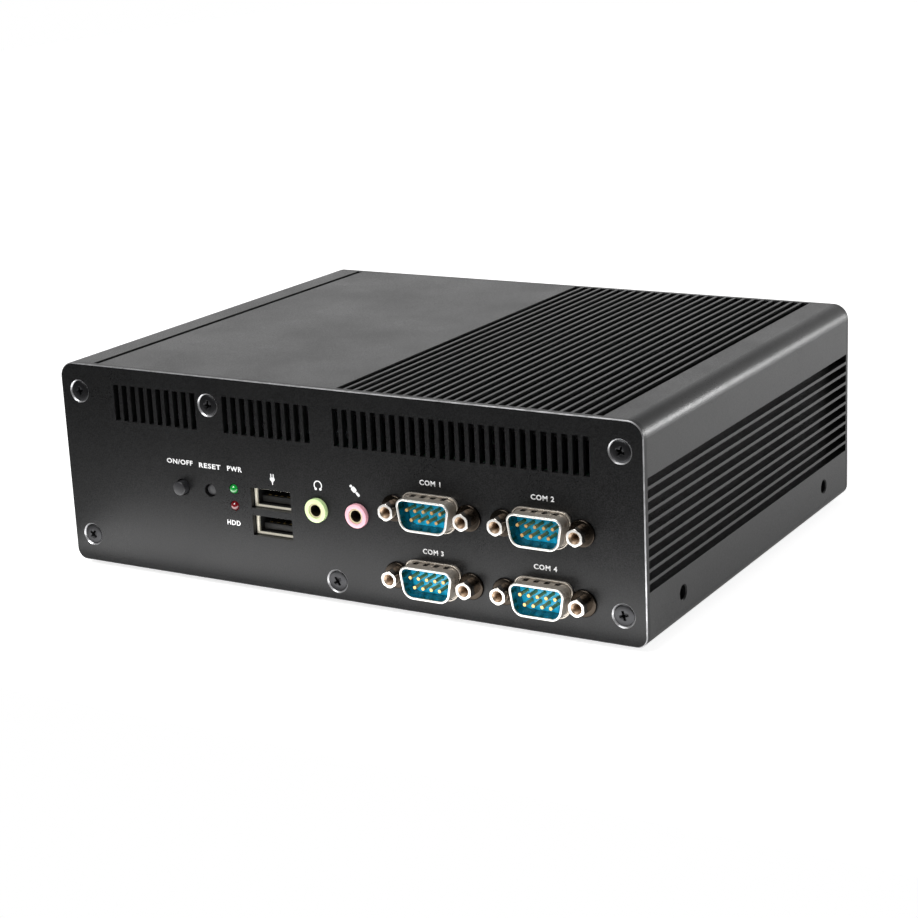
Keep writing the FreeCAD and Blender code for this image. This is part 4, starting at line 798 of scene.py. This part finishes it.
def make_jackscrew():
    """Hexagonal pillar with a turned face and a threaded bore, on a domed washer."""
    deselect()
    bpy.ops.mesh.primitive_cylinder_add(vertices=6,
                                        radius=PILLAR_FLATS/2/math.cos(math.radians(30)),
                                        depth=FRONT - SCREW_FRONT,
                                        location=(0, (FRONT + SCREW_FRONT)/2, 0),
                                        rotation=(math.radians(90), 0, 0))
    pillar = bpy.context.object
    settle(pillar)
    boolean = pillar.modifiers.new("turned", "BOOLEAN")
    boolean.operation = "INTERSECT"
    boolean.solver = "EXACT"
    cone = drum(FACE_RADIUS, SCREW_FRONT, FRONT + 0.01*MM)
    edit(cone, "EDGE")
    turned_end = SCREW_FRONT + WELD
    pick_edges(cone, lambda a, b: a.y < turned_end and b.y < turned_end)
    bpy.ops.mesh.bevel(offset=0.5*MM, segments=4)
    leave_edit()
    boolean.object = cone
    apply_all(pillar)
    bpy.data.objects.remove(cone, do_unlink=True)
    bevelled(pillar, 0.08*MM, 2, 30)

    foremost = SCREW_FRONT - THREAD_AHEAD
    bore = drum(THREAD_RADIUS, foremost, SCREW_FRONT + THREAD_DEEP, 20)
    edit(bore, "EDGE")
    pick_edges(bore, lambda a, b: abs(a.y - b.y) > 1*MM)
    bpy.ops.mesh.subdivide(number_cuts=THREAD_STEPS - 1)
    rings = bmesh.from_edit_mesh(bore.data)
    step = (THREAD_AHEAD + THREAD_DEEP)/THREAD_STEPS
    for vertex in rings.verts:
        vertex.select_set(round((vertex.co.y - foremost)/step) % 2 == 1)
    bmesh.update_edit_mesh(bore.data)
    bpy.ops.mesh.select_mode(type="VERT")
    bpy.ops.transform.resize(value=(1.16, 1, 1.16), center_override=(0, 0, 0))
    leave_edit()
    carved(pillar, bore)
    sink = drum(SINK_RADIUS, SCREW_FRONT - 0.1*MM, SCREW_FRONT + 0.6*MM, 40)
    edit(sink, "FACE")
    pick_faces(sink, lambda centre, normal: normal.y > 0.9)
    bpy.ops.transform.resize(value=(0.66, 1, 0.66), center_override=(0, 0, 0))
    leave_edit()
    carved(pillar, sink)

    washer = drum(WASHER_RADIUS, FRONT - WASHER_THICK, FRONT + 0.1*MM)
    edit(washer, "EDGE")
    dome = FRONT - WASHER_THICK + 0.1*MM
    pick_edges(washer, lambda a, b: a.y < dome and b.y < dome)
    bpy.ops.mesh.bevel(offset=0.3*MM, segments=3)
    leave_edit()
    for finish in (LIT_FACE_NICKEL, SHADED_BORE_METAL, SHADED_SIDE_NICKEL):
        pillar.data.materials.append(finish)
    for face in pillar.data.polygons:
        inward = face.normal.x*face.center.x + face.normal.z*face.center.z < -0.1*MM
        # Painted shade on the sides of the pillar; the face keeps the lit copy.
        if face.normal.y > -0.92:
            face.material_index = SHADED_SIDE_PLACE
        # Painted shade in part in the bore and its countersink.
        if inward or math.hypot(face.center.x, face.center.z) < THREAD_RADIUS + 0.1*MM:
            face.material_index = SHADED_BORE_PLACE
    washer.data.materials.append(WASHER)
    piece = merged([pillar, washer], "jackscrew")
    smooth(piece, 40)
    return piece


screw = make_jackscrew()
SCREW_ROWS = [("com_%d_shell" % index, None) for index in SERIAL_PORTS]
SCREW_ROWS.append(("vga_shell", HALF_TURN))
jackscrews = []
for node, turn in SCREW_ROWS:
    centre = middle(node)
    for side in (-1, 1):
        offset = (centre.x + side*SCREW_SPACING/2, 0, centre.z)
        jackscrews.append(copied(screw, "jackscrew", offset, turn))
bpy.data.objects.remove(screw, do_unlink=True)
turned = merged(jackscrews, "turned_jackscrews")
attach(turned, "enclosure")
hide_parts("port_jackscrews")


# ---------------------------------------------------------------- panel screws
HEAD_RADIUS = 3.15*MM
HEAD_DEEP = 2.4*MM
HEAD_SUNK = 0.25*MM
RECESS_LENGTH = 3.8*MM
RECESS_WIDTH = 0.9*MM
RECESS_DEEP = 1.3*MM
# x and z in millimetres, the same in both plates.
PANEL_SCREWS = ((-93.9, 58.0), (-44.2, 58.0), (93.9, 58.0),
                (-93.9, 10.9), (-0.7, 7.9), (93.9, 10.9))


def make_panel_screw():
    """Countersunk head with a slight crown and a tapered cross recess."""
    face = FRONT + HEAD_SUNK
    head = drum(HEAD_RADIUS, face, face + HEAD_DEEP)
    edit(head, "FACE")
    pick_faces(head, lambda centre, normal: normal.y > 0.9)
    bpy.ops.transform.resize(value=(0.5, 1, 0.5), center_override=(0, 0, 0))
    pick_faces(head, lambda centre, normal: normal.y < -0.9)
    bpy.ops.mesh.inset(thickness=0.5*MM)
    bpy.ops.transform.translate(value=(0, -0.12*MM, 0))
    bpy.ops.mesh.inset(thickness=1.0*MM)
    bpy.ops.transform.translate(value=(0, -0.08*MM, 0))
    leave_edit()
    for turn in (0, 90):
        blade = brick((-RECESS_LENGTH/2, face - 1*MM, -RECESS_WIDTH/2),
                      (RECESS_LENGTH/2, face + RECESS_DEEP, RECESS_WIDTH/2))
        edit(blade, "FACE")
        pick_faces(blade, lambda centre, normal: normal.y > 0.9)
        bpy.ops.transform.resize(value=(0.35, 1, 0.6), center_override=(0, 0, 0))
        leave_edit()
        blade.data.transform(Matrix.Rotation(math.radians(turn), 4, "Y"))
        carved(head, blade)
    bevelled(head, 0.06*MM, 2, 30)
    smooth(head, 35)
    return head


master = make_panel_screw()
heads = []
for index, (x, z) in enumerate(PANEL_SCREWS):
    lean = Matrix.Rotation(math.radians(17*index - 12), 4, "Y")
    heads.append(copied(master, "head", (x*MM, 0, z*MM), lean))
    heads.append(copied(master, "head", (x*MM, 0, z*MM), HALF_TURN @ lean))
bpy.data.objects.remove(master, do_unlink=True)
finish_piece(merged(heads, "cross_recess_screws"), "cross_recess_screws", BLACK_SCREW,
             replaces="panel_screws")


# ---------------------------------------------------------------- parts that keep their shape
def edged(node, name, width, material, body="enclosure", segments=2):
    """A copy of a solid with its edges broken, standing in for it."""
    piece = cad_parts[node].copy()
    piece.data = piece.data.copy()
    piece.parent = None
    piece.matrix_world = Matrix.Identity(4)
    bpy.context.scene.collection.objects.link(piece)
    for key in list(piece.keys()):
        del piece[key]
    edit(piece, "FACE")
    bpy.ops.mesh.select_all(action="SELECT")
    bpy.ops.mesh.remove_doubles(threshold=WELD)
    bpy.ops.mesh.customdata_custom_splitnormals_clear()
    bpy.ops.mesh.dissolve_limited(angle_limit=math.radians(0.5))
    leave_edit()
    bevelled(piece, width, segments)
    smooth(piece, 40)
    return finish_piece(piece, name, material, body, node)


edged("headphone_jack", "headphone_collar", 0.45*MM, LIME, segments=4)
edged("mic_jack", "microphone_collar", 0.45*MM, PINK, segments=4)
edged("power_button", "power_cap_moulding", 0.3*MM, CAP, "power_cap", 3)
edged("reset_button", "reset_cap_moulding", 0.25*MM, GREY, "reset_cap", 3)
edged("usb_shell", "usb_cage", 0.12*MM, CAGE)
edged("usb_core", "usb_tongues", 0.12*MM, JET)
edged("rubber_feet", "moulded_feet", 0.4*MM, RUBBER, segments=3)
edged("power_inlet", "inlet_moulding", 0.25*MM, BLACK, segments=3)
edged("hdmi_shell", "monitor_cage", 0.12*MM, SHELL)
edged("lan_usb_a_shell", "port_cage_a", 0.12*MM, SHELL)
edged("lan_usb_b_shell", "port_cage_b", 0.12*MM, SHELL)


# ---------------------------------------------------------------- network sockets at the rear
MOUTH_FLOOR = 11.2*MM
MOUTH_ROOF = 2.2*MM
WIRES = 8
WIRE_PITCH = 1.02*MM
WIRE_WIDTH = 0.44*MM
WIRE_RISE = 2.6*MM
LAMP_OFFSET = 4.4*MM
LAMP_WIDTH = 3.0*MM


def make_network_details():
    """Sprung contacts and two signal lamps in each network socket."""
    contacts = []
    lamps = {"green": [], "amber": []}
    for node in ("lan_usb_a_shell", "lan_usb_b_shell"):
        low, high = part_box(node)
        x = (low.x + high.x)/2
        mouth_low = high.z - MOUTH_FLOOR
        mouth_high = high.z - MOUTH_ROOF
        for count in range(WIRES):
            across = x + (count - (WIRES - 1)/2)*WIRE_PITCH
            wire = brick((across - WIRE_WIDTH/2, high.y - 9.0*MM, mouth_low + 0.3*MM),
                         (across + WIRE_WIDTH/2, high.y - 1.6*MM, mouth_low + 0.75*MM))
            edit(wire, "FACE")
            pick_faces(wire, lambda centre, normal: normal.y < -0.9)
            bpy.ops.transform.translate(value=(0, 0, WIRE_RISE))
            leave_edit()
            contacts.append(bevelled(wire, 0.08*MM, 2))
        for side in (-1, 1):
            across = x + side*LAMP_OFFSET
            window = brick((across - LAMP_WIDTH/2, high.y - 0.4*MM, mouth_high + 0.45*MM),
                           (across + LAMP_WIDTH/2, high.y + 0.12*MM, mouth_high + 1.75*MM))
            lamps["green" if side < 0 else "amber"].append(bevelled(window, 0.2*MM, 3))
    finish_piece(merged(contacts, "network_contacts"), "network_contacts", GOLD)
    finish_piece(merged(lamps["green"], "network_link_lamps"), "network_link_lamps",
                 GREEN_LENS)
    finish_piece(merged(lamps["amber"], "network_speed_lamps"), "network_speed_lamps",
                 AMBER_LENS)


make_network_details()


# ---------------------------------------------------------------- table, lamps and camera
FLOOR_MIDDLE = (0.0, 0.98, GROUND)
FLOOR_WIDTH = 3.0
FLOOR_DEPTH = 2.3
FLOOR_MIRRORED = 0.25
FLOOR_SEEN = 0.55
AMBIENT = 0.25
DIM = 0.10
CAMERA_PLACE = (0.33806, -0.56934, 0.21572)
CAMERA_TURN = (73.904, 2.528, 30.225)
CAMERA_LENS = 82.91


def make_floor():
    """A pale sheet that the object stands on; it ends a little in front of it."""
    deselect()
    bpy.ops.mesh.primitive_plane_add(size=1.0, location=FLOOR_MIDDLE)
    floor = bpy.context.object
    floor.scale = (FLOOR_WIDTH, FLOOR_DEPTH, 1.0)
    settle(floor)
    floor.name = "table"
    material, tree, shader = new_material("pale_table", grey(0.8), 0.9, 0.0,
                                          Specular_IOR_Level=0.1)
    path = add(tree, "ShaderNodeLightPath")
    seen = math_node(tree, "MAXIMUM", path.outputs["Is Camera Ray"],
                     math_node(tree, "MAXIMUM", path.outputs["Is Glossy Ray"],
                               path.outputs["Is Transmission Ray"]))
    glow = math_node(tree, "ADD", math_node(tree, "MULTIPLY", seen, FLOOR_MIRRORED),
                     math_node(tree, "MULTIPLY", path.outputs["Is Camera Ray"], FLOOR_SEEN))
    tree.links.new(glow, shader.inputs["Emission Strength"])
    shader.inputs["Emission Color"].default_value = grey(1.0)
    floor.data.materials.append(material)


def make_world():
    """White behind the object and in its gloss, under a dim ceiling, with plain soft light."""
    world = bpy.data.worlds.new("studio")
    bpy.context.scene.world = world
    world.use_nodes = True
    tree = world.node_tree
    background = tree.nodes["Background"]
    background.inputs["Color"].default_value = grey(1.0)
    path = add(tree, "ShaderNodeLightPath")
    axes = add(tree, "ShaderNodeSeparateXYZ",
               {0: add(tree, "ShaderNodeTexCoord").outputs["Generated"]})
    behind = span(tree, axes.outputs["Y"], -0.3, 0.5, DIM, 1.0)
    low = span(tree, axes.outputs["Z"], 0.30, 0.62, 1.0, DIM)
    mirrored = math_node(tree, "MULTIPLY", behind, low)
    glossy = math_node(tree, "MAXIMUM", path.outputs["Is Glossy Ray"],
                       path.outputs["Is Transmission Ray"])
    dull = math_node(tree, "SUBTRACT", 1.0, glossy)
    strength = math_node(tree, "ADD", math_node(tree, "MULTIPLY", glossy, mirrored),
                         math_node(tree, "MULTIPLY", dull, AMBIENT))
    strength = math_node(tree, "MAXIMUM", strength, path.outputs["Is Camera Ray"])
    tree.links.new(strength, background.inputs["Strength"])


def lamp(name, place, target, size, power):
    """A flat lamp at a place, aimed at a target, with its width, height and watts."""
    light = bpy.data.lights.new(name, "AREA")
    light.shape = "RECTANGLE"
    light.size = size[0]
    light.size_y = size[1]
    light.energy = power
    piece = bpy.data.objects.new(name, light)
    bpy.context.scene.collection.objects.link(piece)
    piece.location = place
    aim = Vector(target) - Vector(place)
    piece.rotation_euler = aim.to_track_quat("-Z", "Y").to_euler()
    piece.visible_camera = False


def make_camera():
    camera = bpy.data.cameras.new("camera")
    camera.lens = CAMERA_LENS
    camera.sensor_width = 36.0
    camera.clip_start = 0.01
    piece = bpy.data.objects.new("camera", camera)
    bpy.context.scene.collection.objects.link(piece)
    piece.location = CAMERA_PLACE
    piece.rotation_euler = [math.radians(angle) for angle in CAMERA_TURN]
    bpy.context.scene.camera = piece


make_floor()
make_world()
lamp("side_softbox", (0.85, 0.75, 0.12), (0.1, 0.03, 0.03), (0.7, 0.3), 9.0)
lamp("key_softbox", (-0.20, -0.86, 0.85), (0.0, 0.0, 0.03), (0.6, 0.6), 12.5)
lamp("front_card", (0.015, -0.102, GROUND + 0.003), (0.015, -0.095, GROUND + 0.06),
     (0.26, 0.03), 0.085)
make_camera()

scene = bpy.context.scene
scene.view_settings.view_transform = "Standard"
